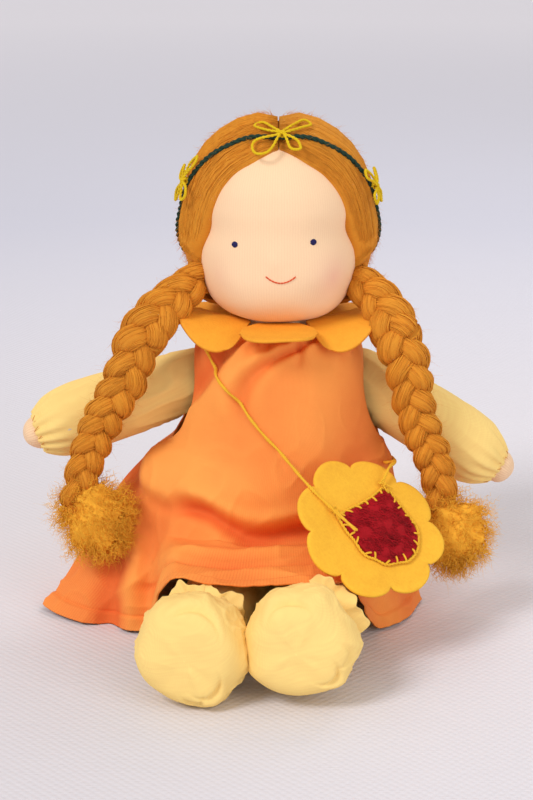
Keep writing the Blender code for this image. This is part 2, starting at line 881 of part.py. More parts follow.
def make_plait(name, route, parent, lean):
    """Three crossing strands as one lobed rope, its tie and its loose tuft."""
    root = Vector(route[0])
    path = smooth_path(route, PLAIT_RINGS)
    first = (path[1] - path[0]).normalized()
    rings = []
    for back in (radians(a) for a in PLAIT_ROOT_DEGS):
        at = path[0] - first * PLAIT_RADIUS * sin(back)
        rings.append(plait_ring(at, first, PLAIT_RADIUS * cos(back), 0.0, 0.0, root))
    long = sum((b - a).length for a, b in zip(path, path[1:]))
    run = 0.0
    for k, at in enumerate(path):
        ahead = path[min(k + 1, len(path) - 1)] - path[max(k - 1, 0)]
        if k:
            run += (at - path[k - 1]).length
        base = PLAIT_RADIUS + (PLAIT_END_RADIUS - PLAIT_RADIUS) * run / long
        lobe = PLAIT_LOBE_SHARE * min(1.0, run / PLAIT_LOBE_LENGTH)
        rings.append(plait_ring(at, ahead.normalized(), base, run, lobe, root))
    loft(f"{name}_plait", rings, HAIR, parent)
    down = (path[-1] - path[-2]).normalized()
    seat = path[-1] + down * (GAP + TIE_LENGTH / 2) - root
    tie_radius = PLAIT_END_RADIUS * TUFT_SHARES[1][0]
    half = TIE_LENGTH / 2
    ends = [(0.0, half), (tie_radius, half), (tie_radius + TIE_RADIUS, 0.0)]
    ends += [(tie_radius, -half), (0.0, -half)]
    tie = turned(f"{name}_plait_tie", ends, HAIR, parent, SMALL_STEPS)
    tie.location = seat
    tie.rotation_euler = down.to_track_quat("-Z", "Y").to_euler()
    profile = [(a * TUFT_HALF_WIDTH, -b * TUFT_LENGTH) for a, b in TUFT_SHARES]
    profile = [(0.0, 0.0)] + profile + [(0.0, -TUFT_LENGTH)]
    narrow = TUFT_HALF_DEPTH / TUFT_HALF_WIDTH
    tuft = turned(f"{name}_tuft", profile, HAIR, parent, TUFT_STEPS)
    tuft.location = seat + down * (half + 2 * GAP)
    tuft.rotation_euler = (radians(-TUFT_FORWARD_DEG), radians(-lean), 0.0)
    tuft.scale = (1.0, narrow, 1.0)


# Torso


def torso_profile(by):
    """The torso's outer side, moved inwards by a distance, closed at top and bottom."""
    outer = [(a * TORSO_HALF_WIDTH, b * TORSO_TOP) for a, b in TORSO_SHARES]
    outer = [(0.0, TORSO_TOP)] + outer + [(0.0, 0.0)]
    return inset(outer, by)


def torso_solid(name, by, look):
    """The torso's form moved inwards, scooped for the arms' and the legs' round roots."""
    item = turned(name, torso_profile(by), look, None, TORSO_STEPS)
    item.scale = (1.0, TORSO_DEPTH_SHARE, 1.0)
    arm = ARM_RADIUS * SLEEVE_SHARES[0][0] + 2 * GAP + by
    for side_name, side in SIDES:
        at = (side * SHOULDER_X, 0.0, SHOULDER_Z)
        cut(item, ball_cutter(f"{name}_{side_name}_arm_scoop", at, arm))
    cut(item, leg_scoop(f"{name}_leg_scoop", LEG_RADIUS + GAP + by))
    return item


def leg_scoop(name, radius):
    """The room that both legs sweep, from sitting to hanging down, right across."""
    turns = [pi / 2 * (1 - k / SCOOP_STEPS) for k in range(SCOOP_STEPS + 1)]
    arc = [(HIP_Y + radius * cos(t), HIP_Z + radius * sin(t)) for t in turns]
    front = HIP_Y - 2 * radius
    below = -OVERRUN
    outline = [(front, HIP_Z + radius)] + arc + [(HIP_Y + radius, below), (front, below)]
    scoop = flat_outline(name, outline, 2 * TORSO_HALF_WIDTH + 2 * OVERRUN, None)
    scoop = as_cutter_mesh(scoop)
    scoop.rotation_euler = (radians(90.0), 0.0, radians(90.0))
    return scoop


def make_torso():
    """A sewn cover, open at the neck, and the wool inside it."""
    cover = torso_solid("torso_cover", 0.0, COTTON)
    room = torso_solid("torso_room", CLOTH, None)
    cut(cover, as_cutter(room))
    opening = turned(
        "torso_neck_opening",
        [
            (0.0, TORSO_TOP + OVERRUN),
            (TORSO_NECK_OPENING, TORSO_TOP + OVERRUN),
            (TORSO_NECK_OPENING, TORSO_TOP - 3 * CLOTH),
            (0.0, TORSO_TOP - 3 * CLOTH),
        ],
        None,
        None,
        SMALL_STEPS,
    )
    cut(cover, as_cutter(opening))
    torso_solid("torso_stuffing", CLOTH + GAP, WOOL)


# Arms and legs, each hanging along local -Z from its pivot


def make_arm(name, side, drop):
    """Cotton arm, stuffing, hand and the running stitch that closes the wrist."""
    turn = side * radians(drop - 90.0)
    axis = pivot(f"{name}_arm_axis", (side * SHOULDER_X, 0.0, SHOULDER_Z), (0.0, turn, 0.0))
    root = ARM_RADIUS * SLEEVE_SHARES[0][0]
    outer = [(root * sin(t), root * cos(t)) for t in (radians(a) for a in ROOT_DEGS)]
    outer += [(a * ARM_RADIUS, -b * ARM_LENGTH) for a, b in SLEEVE_SHARES]
    turned(f"{name}_sleeve", outer, COTTON, axis, LIMB_STEPS, wall=CLOTH)
    inner = inset(outer, CLOTH + GAP)
    reach = ARM_LENGTH - HAND_RADIUS - WRIST_LENGTH
    body = [p for p in inner if -p[1] < reach - GAP]
    end = (profile_radius(inner, -reach), -reach)
    turned(f"{name}_arm_stuffing", body + [end, (0.0, -reach)], WOOL, axis, LIMB_STEPS)
    centre = ARM_LENGTH - HAND_RADIUS
    down = [radians(a) for a in HAND_DEGS]
    ball = [(HAND_RADIUS * sin(t), -centre + HAND_RADIUS * cos(t)) for t in down]
    wrist = [(0.0, -reach - GAP), (WRIST_RADIUS, -reach - GAP)]
    turned(f"{name}_hand", wrist + ball + [(0.0, -ARM_LENGTH)], SKIN, axis, LIMB_STEPS)
    cuff = outer[-1]
    ring = circle(cuff[0] + GAP + CUFF_THREAD, cuff[1] - CUFF_THREAD, LIMB_STEPS)
    tube(f"{name}_cuff_thread", ring, CUFF_THREAD, MOUTH_THREAD, axis, cyclic=True, resolution=0)


def make_leg(name, side, splay, rise):
    """Stuffed leg and foot, the gathered bootie over the foot and its thread."""
    turn = (radians(-90.0 - rise), 0.0, radians(splay))
    axis = pivot(f"{name}_leg_axis", (side * HIP_X, HIP_Y, HIP_Z), turn)
    profile = [(LEG_RADIUS * sin(t), LEG_RADIUS * cos(t)) for t in (radians(a) for a in ROOT_DEGS)]
    profile.append((LEG_RADIUS, 0.0))
    profile += [(a * LEG_RADIUS, -b * FOOT_CENTRE) for a, b in LEG_SHARES]
    shell = bootie_profile()
    foot = inset(shell, CLOTH + 2 * GAP)[3:]
    profile += [(ANKLE_RADIUS, foot[0][1])] + foot[1:]
    turned(f"{name}_leg", profile, COTTON, axis, LIMB_STEPS)
    turned(f"{name}_bootie", shell, COTTON, axis, LIMB_STEPS, wall=CLOTH)
    waist = shell[2]
    ring = circle(waist[0] + 3 * GAP + BOOTIE_THREAD, waist[1], LIMB_STEPS)
    tube(f"{name}_bootie_thread", ring, BOOTIE_THREAD, COTTON, axis, cyclic=True, resolution=0)


def bootie_profile():
    """From the ruffle's edge in to the gather, out round the foot and in to the sole."""
    points = []
    for a, b in BOOTIE_SHARES:
        along = FOOT_CENTRE + (b - BOOTIE_CENTRE_SHARE) * BOOTIE_LENGTH
        points.append((a * FOOT_RADIUS, -along))
    radius, gather = points[0]
    edge = (RUFFLE_RADIUS, gather + RUFFLE_LENGTH)
    middle = ((RUFFLE_RADIUS + radius) / 2, gather + RUFFLE_LENGTH / 2)
    return [edge, middle, *points, (0.0, points[-1][1])]


# Dress


def lap_share(x):
    """One over the legs, nought beside them."""
    left = step_up(-LAP_LEFT, -LAP_LEFT + LAP_EDGE, x)
    right = step_up(-LAP_RIGHT, -LAP_RIGHT + LAP_EDGE, -x)
    return left * right


def armhole_half(height):
    """Half the armhole's width at a height, nought above and below it."""
    middle = (ARMHOLE_TOP + ARMHOLE_BOTTOM) / 2
    up = (height - middle) / ((ARMHOLE_TOP - ARMHOLE_BOTTOM) / 2)
    return ARMHOLE_HALF * max(0.0, 1.0 - up * up) ** 0.5


def dress_point(row, turn, sign):
    """A point of the dress, turn from the left seam over the front or the back."""
    tall, left, right, front, back, reach = row
    wide = left * DRESS_LEFT if cos(turn) > 0 else right * DRESS_RIGHT
    deep = front * DRESS_FRONT if sign < 0 else back * DRESS_BACK
    x = -wide * cos(turn)
    y = sign * deep * sin(turn)
    z = tall * DRESS_TOP
    flare = max(0.0, (1.0 - tall) - FOLD_START_SHARE) / (1.0 - FOLD_START_SHARE)
    ripple = FOLD_DEPTH * flare * sin(turn) * cos(FOLD_COUNT * turn)
    if sign < 0:
        x *= 1.0 + CORNER_SHARE * flare * abs(sin(2 * turn))
        over = lap_share(x)
        drop = LAP_TOP + (LAP_HEM - LAP_TOP) * reach
        y -= reach * SKIRT_REACH * over
        z += over * max(0.0, drop - z)
        ripple *= 1.0 - LAP_FOLD_SHARE * over
    return Vector((x + ripple * cos(turn), y + sign * ripple, z))


def make_panel(name, sign, columns):
    """The front or the back of the dress, from one side seam to the other."""
    rows = []
    for row in DRESS_SHARES:
        deep = (row[3] * DRESS_FRONT) if sign < 0 else (row[4] * DRESS_BACK)
        edge = max(armhole_half(row[0] * DRESS_TOP), GAP)
        start = asin(edge / deep)
        spread = [start + (pi - 2 * start) * k / columns for k in range(columns + 1)]
        line = [dress_point(row, turn, sign) for turn in spread]
        rows.append(line if sign < 0 else list(reversed(line)))
    return sheet(name, rows, VELOUR, CLOTH)


def make_dress():
    """Two panels that meet at the side seams and leave the armholes open."""
    front = make_panel("dress_front", -1.0, FRONT_COLUMNS)
    back = make_panel("dress_back", 1.0, BACK_COLUMNS)
    return front, back


# Collar


def make_collar():
    """Felt petals round the neck, each narrow at the neck and drooping at its edges."""
    for k in range(PETAL_COUNT):
        away = 2 * pi * k / PETAL_COUNT
        out = Vector((sin(away), -cos(away), 0.0))
        across = Vector((cos(away), sin(away), 0.0))
        rows = []
        for i in range(PETAL_ROWS + 1):
            run = i / PETAL_ROWS
            wide = PETAL_HALF_WIDTH * petal_width(run)
            line = []
            for j in range(PETAL_COLUMNS + 1):
                side = 2 * j / PETAL_COLUMNS - 1
                bow = 1.0 - PETAL_BOW_SHARE * side * side * run
                reach = PETAL_INNER + (PETAL_OUTER - PETAL_INNER) * run * bow
                fall = COLLAR_DROOP * run * run + COLLAR_EDGE_DROOP * side * side * run
                fall *= CHEST_DROOP_SHARE if k == 0 else 1
                rise = Vector((0.0, 0.0, COLLAR_TOP - fall))
                line.append(out * reach + across * wide * side + rise)
            rows.append(line)
        sheet(f"collar_petal_{k + 1}", rows, COLLAR_FELT, PETAL_THICKNESS)


def petal_width(run):
    """The petal's share of its full width, from the neck to the tip."""
    if run < PETAL_WIDEST_SHARE:
        swell = sin(pi / 2 * run / PETAL_WIDEST_SHARE)
        return PETAL_NECK_SHARE + (1.0 - PETAL_NECK_SHARE) * swell
    past = (run - PETAL_WIDEST_SHARE) / (1.0 - PETAL_WIDEST_SHARE)
    return max(PETAL_TIP_SHARE, (1.0 - PETAL_CURVE_SHARE * past * past) ** 0.5)


# Bag and strap


def bag_frame():
    """The bag's axes: across the pocket, up its face and out of its face."""
    out = BAG_FACING_SHARES.normalized()
    across = (BAG_ACROSS_SHARES - out * BAG_ACROSS_SHARES.dot(out)).normalized()
    up = out.cross(across)
    return across, up, out


def knot_places():
    """The two knots, in the plane of the pocket, either side of its mouth."""
    across, up, out = bag_frame()
    rise = POCKET_TOP + KNOT_RISE + KNOT_RADIUS
    lift = BAG_THICKNESS / 2 + GAP + KNOT_RADIUS
    middle = BAG_CENTRE + across * POCKET_SHIFT + up * rise + out * lift
    return middle - across * POCKET_HALF_WIDTH, middle + across * POCKET_HALF_WIDTH


def make_bag():
    """Flower of felt, pocket, its stitching, and the knots that the strap ends in."""
    across, up, out = bag_frame()
    left, right = knot_places()
    hinge = (left + right) / 2
    turn = Matrix((across, up, out)).transposed()
    axis = pivot("bag_axis", hinge, turn.to_euler())
    rise = POCKET_TOP + KNOT_RISE + KNOT_RADIUS
    lift = BAG_THICKNESS / 2 + GAP + KNOT_RADIUS
    middle = Vector((-POCKET_SHIFT, -rise, -lift))
    outline = []
    for k in range(BAG_POINTS):
        a = 2 * pi * k / BAG_POINTS
        lobe = abs(cos(BAG_LOBES * a / 2)) ** BAG_LOBE_POWER
        reach = BAG_RADIUS * (1.0 - BAG_LOBE_SHARE + BAG_LOBE_SHARE * lobe)
        outline.append((reach * cos(a), reach * sin(a)))
    flower = flat_outline("bag_flower", outline, BAG_THICKNESS, BAG_FELT, axis)
    flower.location = middle
    patch = pocket_outline(0.0)
    pocket = flat_outline("bag_pocket", patch, POCKET_THICKNESS, RED_FELT, axis)
    seat = (BAG_THICKNESS + POCKET_THICKNESS) / 2 + GAP
    pocket.location = middle + Vector((POCKET_SHIFT, 0.0, seat))
    ring = [Vector((x, y, 0.0)) for x, y in pocket_outline(GAP + STITCH_RADIUS)]
    rest = BAG_THICKNESS / 2 + GAP + STITCH_RADIUS
    yarn = tube("bag_stitching", ring, STITCH_RADIUS, YELLOW_YARN, axis, resolution=0)
    yarn.location = middle + Vector((POCKET_SHIFT, 0.0, rest))
    for name, side in SIDES:
        turns = [pi * k / KNOT_STEPS for k in range(KNOT_STEPS + 1)]
        ball = [(KNOT_RADIUS * sin(t), KNOT_RADIUS * cos(t)) for t in turns]
        knot = turned(f"{name}_strap_knot", ball, YELLOW_YARN, axis, SMALL_STEPS)
        knot.location = (side * POCKET_HALF_WIDTH, 0.0, 0.0)


def pocket_outline(grow):
    """The pocket's outline from one top corner round its foot to the other."""
    wide = POCKET_HALF_WIDTH + grow
    foot = POCKET_TOP - POCKET_HEIGHT + POCKET_HALF_WIDTH
    turns = [pi * k / POCKET_STEPS for k in range(POCKET_STEPS + 1)]
    arc = [(wide * cos(t), foot - wide * sin(t)) for t in turns]
    return [(wide, POCKET_TOP), *arc, (-wide, POCKET_TOP)]


def make_strap(panels):
    """One yarn strap from knot to knot, over the left shoulder and round the back."""
    left, right = knot_places()
    tree = surface_of(panels)
    lay = STRAP_RADIUS + GAP + STRAP_SLACK
    laid = laid_on([Vector(p) for p in STRAP_LAID], tree, lay, torso_line)
    front = [Vector(p) for p in STRAP_FREE_FRONT]
    back = [Vector(p) for p in STRAP_FREE_BACK]
    off = KNOT_RADIUS + GAP
    start = left + (front[0] - left).normalized() * off
    end = right + (back[-1] - right).normalized() * off
    path = smooth_path([start, *front, *laid, *back, end], STRAP_STEPS)
    lifted = [clear_of(p, (p - torso_line(p)).normalized(), tree, lay) for p in path]
    tube("bag_strap", lifted, STRAP_RADIUS, YELLOW_YARN, resolution=1)


def torso_line(p):
    """The torso's middle line beside or below a point, lower than the point."""
    low = min(p.z, SHOULDER_Z)
    return Vector((0.0, 0.0, low - (p.z - low) * STRAP_SINK_SHARE))


def main():
    clear_scene()
    neck = pivot("neck_axis", (0.0, 0.0, NECK_BOTTOM))
    make_torso()
    make_strap(make_dress())
    make_collar()
    make_bag()
    make_head(neck)
    make_face(neck)
    cap = make_hair(neck)
    make_headband(neck, cap)
    for name, side in SIDES:
        route = LEFT_PLAIT if side < 0 else RIGHT_PLAIT
        lock = LEFT_LOCK if side < 0 else RIGHT_LOCK
        lean = LEFT_TUFT_LEAN_DEG if side < 0 else RIGHT_TUFT_LEAN_DEG
        make_lock(f"{name}_hair_lock", lock, Vector(route[0]), neck)
        make_plait(name, route, pivot(f"{name}_plait_axis", route[0]), lean)
        drop = LEFT_ARM_DROP_DEG if side < 0 else RIGHT_ARM_DROP_DEG
        make_arm(name, side, drop)
        splay = LEFT_LEG_SPLAY_DEG if side < 0 else RIGHT_LEG_SPLAY_DEG
        rise = LEFT_LEG_RISE_DEG if side < 0 else RIGHT_LEG_RISE_DEG
        make_leg(name, side, splay, rise)


main()
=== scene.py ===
"""Seated cloth doll: the looks of every piece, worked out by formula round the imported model.

Metres, +Z up, the face looks along -Y and +X is the viewer's right.
"""

import json

import bpy
import numpy as np
from mathutils import Matrix, Vector
from mathutils.bvhtree import BVHTree

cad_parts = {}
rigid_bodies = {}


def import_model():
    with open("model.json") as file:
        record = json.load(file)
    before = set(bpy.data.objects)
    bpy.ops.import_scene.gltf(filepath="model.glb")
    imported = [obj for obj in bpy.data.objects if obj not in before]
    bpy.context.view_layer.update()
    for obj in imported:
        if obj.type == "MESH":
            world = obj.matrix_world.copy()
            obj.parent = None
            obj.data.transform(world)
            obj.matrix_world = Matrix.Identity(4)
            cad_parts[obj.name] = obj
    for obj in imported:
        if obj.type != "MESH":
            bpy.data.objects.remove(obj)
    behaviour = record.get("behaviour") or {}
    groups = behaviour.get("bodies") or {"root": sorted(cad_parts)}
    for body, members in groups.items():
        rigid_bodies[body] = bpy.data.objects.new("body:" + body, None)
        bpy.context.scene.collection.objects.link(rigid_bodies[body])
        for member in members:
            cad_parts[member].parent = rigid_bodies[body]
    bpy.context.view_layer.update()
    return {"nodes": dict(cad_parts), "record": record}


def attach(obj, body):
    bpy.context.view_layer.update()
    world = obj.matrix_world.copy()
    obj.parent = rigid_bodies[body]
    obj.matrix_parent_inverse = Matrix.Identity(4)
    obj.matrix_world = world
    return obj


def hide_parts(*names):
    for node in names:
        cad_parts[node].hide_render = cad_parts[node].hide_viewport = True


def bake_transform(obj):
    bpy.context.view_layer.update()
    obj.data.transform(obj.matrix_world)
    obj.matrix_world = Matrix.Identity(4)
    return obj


bl_info = {
    "name": "Seated cloth doll",
    "version": (1, 0, 0),
    "blender": (4, 5, 0),
    "location": "View3D > Sidebar > Doll",
    "description": "Builds a seated cloth doll with plaited wool hair and a felt flower bag",
    "category": "Add Mesh",
}

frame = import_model()
PI = np.pi
# Floor colours near, in the middle distance and far off: painted shade, darker out to about a
# metre and paler beyond, in place of the way the light falls; the backdrop is even
FLOOR_NEAR, FLOOR_MIDDLE, FLOOR_FAR, BACKDROP = "E2DEE4", "CDCDDB", "E2E0EA", "D9D5DC"
LOOK = "doll "
SIDES = {"left": -1.0, "right": 1.0}
# The gap between pieces laid on one another, and a number that keeps a divisor from nought
GAP, TINY = 0.0003, 1e-6
# Rows and columns of each turned form
GRIDS = {
    "head": (120, 192),
    "core": (60, 64),
    "torso": (70, 72),
    "sleeve": (90, 96),
    "hand": (40, 48),
    "leg": (60, 64),
    "boot": (110, 180),
}
# Height and length of the unevenness of a stuffed form
ROUGH = {"core": (0.0004, 0.007), "hand": (0.0003, 0.012), "leg": (0.0005, 0.025)}
# Radius and pitch of each two-ply yarn
YARNS = {
    "mouth": (0.00042, 0.0040),
    "tie": (0.0008, 0.005),
    "drawstring": (0.0006, 0.003),
    "blanket": (0.0008, 0.0042),
    "knot": (0.0007, 0.004),
    "tail": (0.0005, 0.004),
    "flower": (0.00085, 0.0034),
    "flower knot": (0.00085, 0.0032),
}

# Lights, camera and floor
WORLD_LIGHT = (0.60, 0.575, 0.540)
# Each lamp's name, kind, power, angle or size, and place
LAMPS = (
    ("key", "SUN", 1.45, 0.34, (-1.1, -1.05, 1.55)),
    ("fill", "AREA", 9.0, 1.2, (1.2, -1.4, 0.8)),
    ("rim", "AREA", 5.0, 0.8, (0.5, 1.0, 1.3)),
)
FLOOR_RINGS, FLOOR_WEAVE = (0.0, 0.4, 1.0, 2.5, 6.0, 14.0), 0.0026
# Each further painted shade of the floor, where it starts and how far it takes to come in
FLOOR_PAINTED_SHADING = ((FLOOR_MIDDLE, 0.0, 1.1), (FLOOR_FAR, 1.2, 2.2))
CAMERA_AT = (-0.0067, -1.0519, 0.4429)
CAMERA_TO = (-0.0067, 0.0, 0.1213)
LENS = 85.0

# Head
HEAD_CENTRE = np.array([0.0, 0.0, 0.236])
HEAD_LINE = [
    (0.0, 0.2805), (0.0178, 0.2778), (0.0320, 0.2686), (0.0409, 0.2535), (0.0437, 0.2395),
    (0.0434, 0.2265), (0.0444, 0.2125), (0.0436, 0.1984), (0.0387, 0.1855), (0.0294, 0.1763),
    (0.0178, 0.1722), (0.0172, 0.1636), (0.0, 0.1632),
]
HAIR_LINE = [
    (0.0, 0.2885), (0.0218, 0.2847), (0.0398, 0.2722), (0.0507, 0.2538), (0.0545, 0.2310),
    (0.0531, 0.2104), (0.0485, 0.1930), (0.0403, 0.1800), (0.0200, 0.1745), (0.0, 0.1740),
]
FACE_EDGE = [
    (0.0, -0.0278, 0.2722), (0.0140, -0.0317, 0.2655), (0.0250, -0.0298, 0.2585),
    (0.0328, -0.0276, 0.2490), (0.0374, -0.0238, 0.2375), (0.0390, -0.0192, 0.2275),
    (0.0418, -0.0150, 0.2170), (0.0450, -0.0085, 0.2060), (0.0455, -0.0060, 0.1960),
]
PARTING_FRONT, PARTING_BACK = np.radians(-37.5), np.radians(157.0)
GATHER = np.array([0.0440, -0.0035, 0.1930])
FACE_TURN = np.radians(-3.0)
EYES = {"left": (-33.1, 0.2217), "right": (25.9, 0.2235)}
EYE_STITCHES, EYE_WIDE, EYE_TALL, EYE_ROUND, EYE_THREAD = 7, 0.0015, 0.0016, 0.8, 0.00040
MOUTH_MIDDLE, MOUTH_HALF, MOUTH_LOW, MOUTH_RISE = 1.4, 10.6, 0.2016, 0.0036
MOUTH_LIFT = 0.0002
CORE_SHARE, CORE_TALL, CORE_FOOT = 0.955, 0.97, 0.1645
HAIR_WALL, LOOSE_HAIRS = 0.0012, 3000

# Lock and plait centre lines, as in the solid model
LOCKS = {
    "left": [
        (-0.0405, -0.0030, 0.1985), (-0.0470, -0.0100, 0.1945), (-0.0560, -0.0170, 0.1895),
        (-0.0670, -0.0255, 0.1800), (-0.0755, -0.0315, 0.1690),
    ],
    "right": [
        (0.0405, -0.0030, 0.1980), (0.0470, -0.0100, 0.1930), (0.0545, -0.0180, 0.1875),
        (0.0615, -0.0260, 0.1790), (0.0660, -0.0315, 0.1690),
    ],
}
PLAITS = {
    "left": [
        (-0.0755, -0.0315, 0.1690), (-0.0815, -0.0335, 0.1575), (-0.0882, -0.0345, 0.1400),
        (-0.0990, -0.0345, 0.1190), (-0.1078, -0.0345, 0.1010), (-0.1125, -0.0345, 0.0850),
        (-0.1150, -0.0345, 0.0700),
    ],
    "right": [
        (0.0660, -0.0315, 0.1690), (0.0710, -0.0340, 0.1560), (0.0740, -0.0350, 0.1400),
        (0.0790, -0.0355, 0.1220), (0.0860, -0.0355, 0.1020), (0.0910, -0.0360, 0.0850),
        (0.0930, -0.0365, 0.0700),
    ],
}
PLAIT_PITCH, PLAIT_THICK, PLAIT_THINS, PLAIT_LOOSE = 0.040, 1.08, 0.34, 1300
LOCK_THICK, LOCK_GROWS, LOCK_LOOSE = 0.78, 0.30, 900
# How far a strand of the braid swings aside and deep, and its own radius
BRAID_ASIDE, BRAID_DEEP, STRAND_RADIUS = 0.0068, 0.0038, 0.0064
# Degrees that each tuft leans outwards and forwards
TUFTS = {"left": (72.0, 20.0), "right": (24.0, 20.0)}
TUFT_LOOSE, TUFT_WIDE, TUFT_DEEP, TUFT_TALL = 1800, 0.0205, 0.0105, 0.0190
TUFT_LINE = [
    (0.0, 1.0), (0.32, 0.93), (0.72, 0.55), (0.97, 0.08), (1.0, -0.25), (0.82, -0.68),
    (0.45, -0.93), (0.0, -1.0),
]
TIE_TURNS, TIE_DROP, TIE_TALL, TIE_RADIUS = 4, 0.0028, 0.0048, 0.0052

# Headband
BAND_CENTRE = np.array([0.0, -0.0062, 0.236])
BAND_TILT, NAPE_TILT = np.radians(-64.0), np.radians(-44.0)
BAND_PITCH = 0.0085
FLOWER_FIRST, FLOWER_LIFT = np.radians(-88.0), 0.0010

# Body and limbs
TORSO_LINE = [
    (0.0, 0.1627), (0.0212, 0.1627), (0.0359, 0.1554), (0.0442, 0.1448), (0.0451, 0.1302),
    (0.0414, 0.1082), (0.0428, 0.0797), (0.0460, 0.0521), (0.0460, 0.0244), (0.0414, 0.0057),
    (0.0359, 0.0), (0.0, 0.0),
]
SHOULDERS = {"left": (-0.0500, 0.0, 0.1345), "right": (0.0500, 0.0, 0.1345)}
ARM_DROPS = {"left": 20.0, "right": 34.0}
SLEEVE_LINE = [
    (0.0, 0.0176), (0.0088, 0.0152), (0.0152, 0.0088), (0.0176, -0.0032), (0.0181, -0.0147),
    (0.0198, -0.0347), (0.0208, -0.0588), (0.0201, -0.0746), (0.0177, -0.0840),
    (0.0137, -0.0914), (0.0116, -0.0950),
]
HAND_CENTRE, HAND_RADIUS = -0.0952, 0.0098
HAND_ROOT = [(0.0, -0.0870), (0.0076, -0.0871)]
# Radius, height and raggedness of the two ends of the wrist's stitches
WRIST_ENDS = ((0.0136, -0.0922, 0.0006), (0.0112, -0.0952, 0.0003))
WRIST_SLANT, WRIST_THREAD = 0.14, 0.00024
HIP_SCOOP = 0.0232
HIPS = {"left": (-0.0260, -0.0330, 0.0245), "right": (0.0260, -0.0330, 0.0245)}
LEG_TURNS = {"left": (-92.6, -10.0), "right": (-94.4, -7.6)}
LEG_LINE = [
    (0.0, 0.0220), (0.0110, 0.0191), (0.0191, 0.0110), (0.0220, 0.0), (0.0213, -0.0205),
    (0.0205, -0.0480), (0.0189, -0.0700), (0.0146, -0.0838), (0.0140, -0.0860),
    (0.0150, -0.0900), (0.0, -0.0905),
]
FRILL_WALL, DRAW_RADIUS, DRAW_AT = 0.0006, 0.0178, -0.0858
BOOT_LINE = [
    (0.0146, -0.0846), (0.0172, -0.0852), (0.0215, -0.0905), (0.0262, -0.0985),
    (0.0288, -0.1085), (0.0284, -0.1180), (0.0256, -0.1258), (0.0200, -0.1302),
    (0.0110, -0.1318), (0.0, -0.1322),
]
# Angle, width and height of each lump of a bootie
LUMPS = {
    "left": [
        (5.55, 0.28, 0.0018), (1.9, 0.30, 0.0014), (2.65, 0.28, 0.0046), (3.8, 0.35, -0.0012),
        (4.6, 0.30, 0.0012),
    ],
    "right": [
        (5.75, 0.25, 0.0024), (0.35, 0.25, 0.0030), (1.55, 0.30, 0.0022), (2.2, 0.28, 0.0022),
        (4.2, 0.30, 0.0030), (3.1, 0.5, -0.0022),
    ],
}
# Angle, width, reach and depth of each tuck
TUCKS = {
    "left": [
        (0.22, 0.50, 0.0262, 0.0022), (2.45, 0.34, 0.0235, 0.0026),
        (2.95, 0.20, 0.0250, 0.0020),
    ],
    "right": [
        (6.10, 0.42, 0.0262, 0.0022), (2.15, 0.28, 0.0240, 0.0028),
        (1.60, 0.22, 0.0262, 0.0020),
    ],
}
# Angle, width and reach of each frill of a bootie's ruffle
RUFFLES = {
    "left": [(5.6, 0.60, 0.0060), (0.9, 0.45, 0.0046)],
    "right": [(0.45, 0.35, 0.0070), (1.35, 0.55, 0.0105), (2.1, 0.35, 0.0060)],
}

# Dress: shares of the height, left, right, front, back and reach, from neck to hem
DRESS_TOP, DRESS_LEFT, DRESS_RIGHT, DRESS_DEEP = 0.1694, 0.1310, 0.0810, 0.0700
SKIRT_REACH, LAP_LEFT, LAP_RIGHT, LAP_EDGE = 0.0430, 0.0740, 0.0580, 0.0180
LAP_TOP, LAP_HEM = 0.0575, 0.0520
ARMHOLE_TOP, ARMHOLE_BOTTOM, ARMHOLE_HALF = 0.1620, 0.1000, 0.0225
DRESS_ROWS = [
    (1.000, 0.187, 0.303, 0.343, 0.310, 0.00),
    (0.980, 0.268, 0.433, 0.465, 0.430, 0.00),
    (0.945, 0.362, 0.590, 0.570, 0.515, 0.00),
    (0.885, 0.398, 0.652, 0.640, 0.570, 0.00),
    (0.795, 0.412, 0.676, 0.700, 0.615, 0.00),
    (0.700, 0.430, 0.704, 0.735, 0.645, 0.00),
    (0.590, 0.475, 0.752, 0.765, 0.690, 0.00),
    (0.510, 0.600, 0.808, 0.785, 0.730, 0.00),
    (0.415, 0.708, 0.846, 0.815, 0.770, 0.04),
    (0.320, 0.771, 0.889, 0.857, 0.830, 0.14),
    (0.210, 0.855, 0.930, 0.914, 0.900, 0.42),
    (0.105, 0.930, 0.970, 0.970, 0.957, 0.72),
    (0.009, 1.000, 1.000, 1.000, 1.000, 1.00),
]

# Collar
PETALS, PETAL_INNER, PETAL_OUTER, PETAL_HALF = 6, 0.0215, 0.0625, 0.0205
COLLAR_TOP, COLLAR_DROOP, COLLAR_EDGE_DROOP = 0.1716, 0.0072, 0.0044
DRESS_WALL, COLLAR_WALL = 0.0011, 0.0017

# Bag and strap
BAG_CENTRE = np.array([0.0500, -0.0840, 0.0745])
BAG_OUT = np.array([0.360, -0.580, 0.730])
BAG_ACROSS = np.array([0.721, 0.670, 0.177])
BAG_RADIUS, BAG_THICKNESS, BAG_EDGE_THINS = 0.0435, 0.0024, 0.0006
POCKET_HALF, POCKET_TOP, POCKET_HEIGHT, POCKET_SHIFT = 0.0190, 0.0135, 0.0400, 0.0040
POCKET_PUFF, POCKET_FELT, POCKET_LUMPS = 0.0028, 0.0014, 0.0005
POCKET_FIBRES, POCKET_SWAY, BLANKET_THREAD = 700, 0.0005 / 0.007, 0.0006
KNOT_RISE, KNOT_RADIUS, KNOT_SCALE = 0.0038, 0.0018, 0.00062
STRAP_PITCH, STRAP_SLACK, RAY_START, CLEAR_ROUNDS = 0.0042, 0.0004, 0.04, 6
STRAP_FRONT = [(0.0245, -0.0860, 0.0900), (0.0130, -0.0780, 0.1000)]
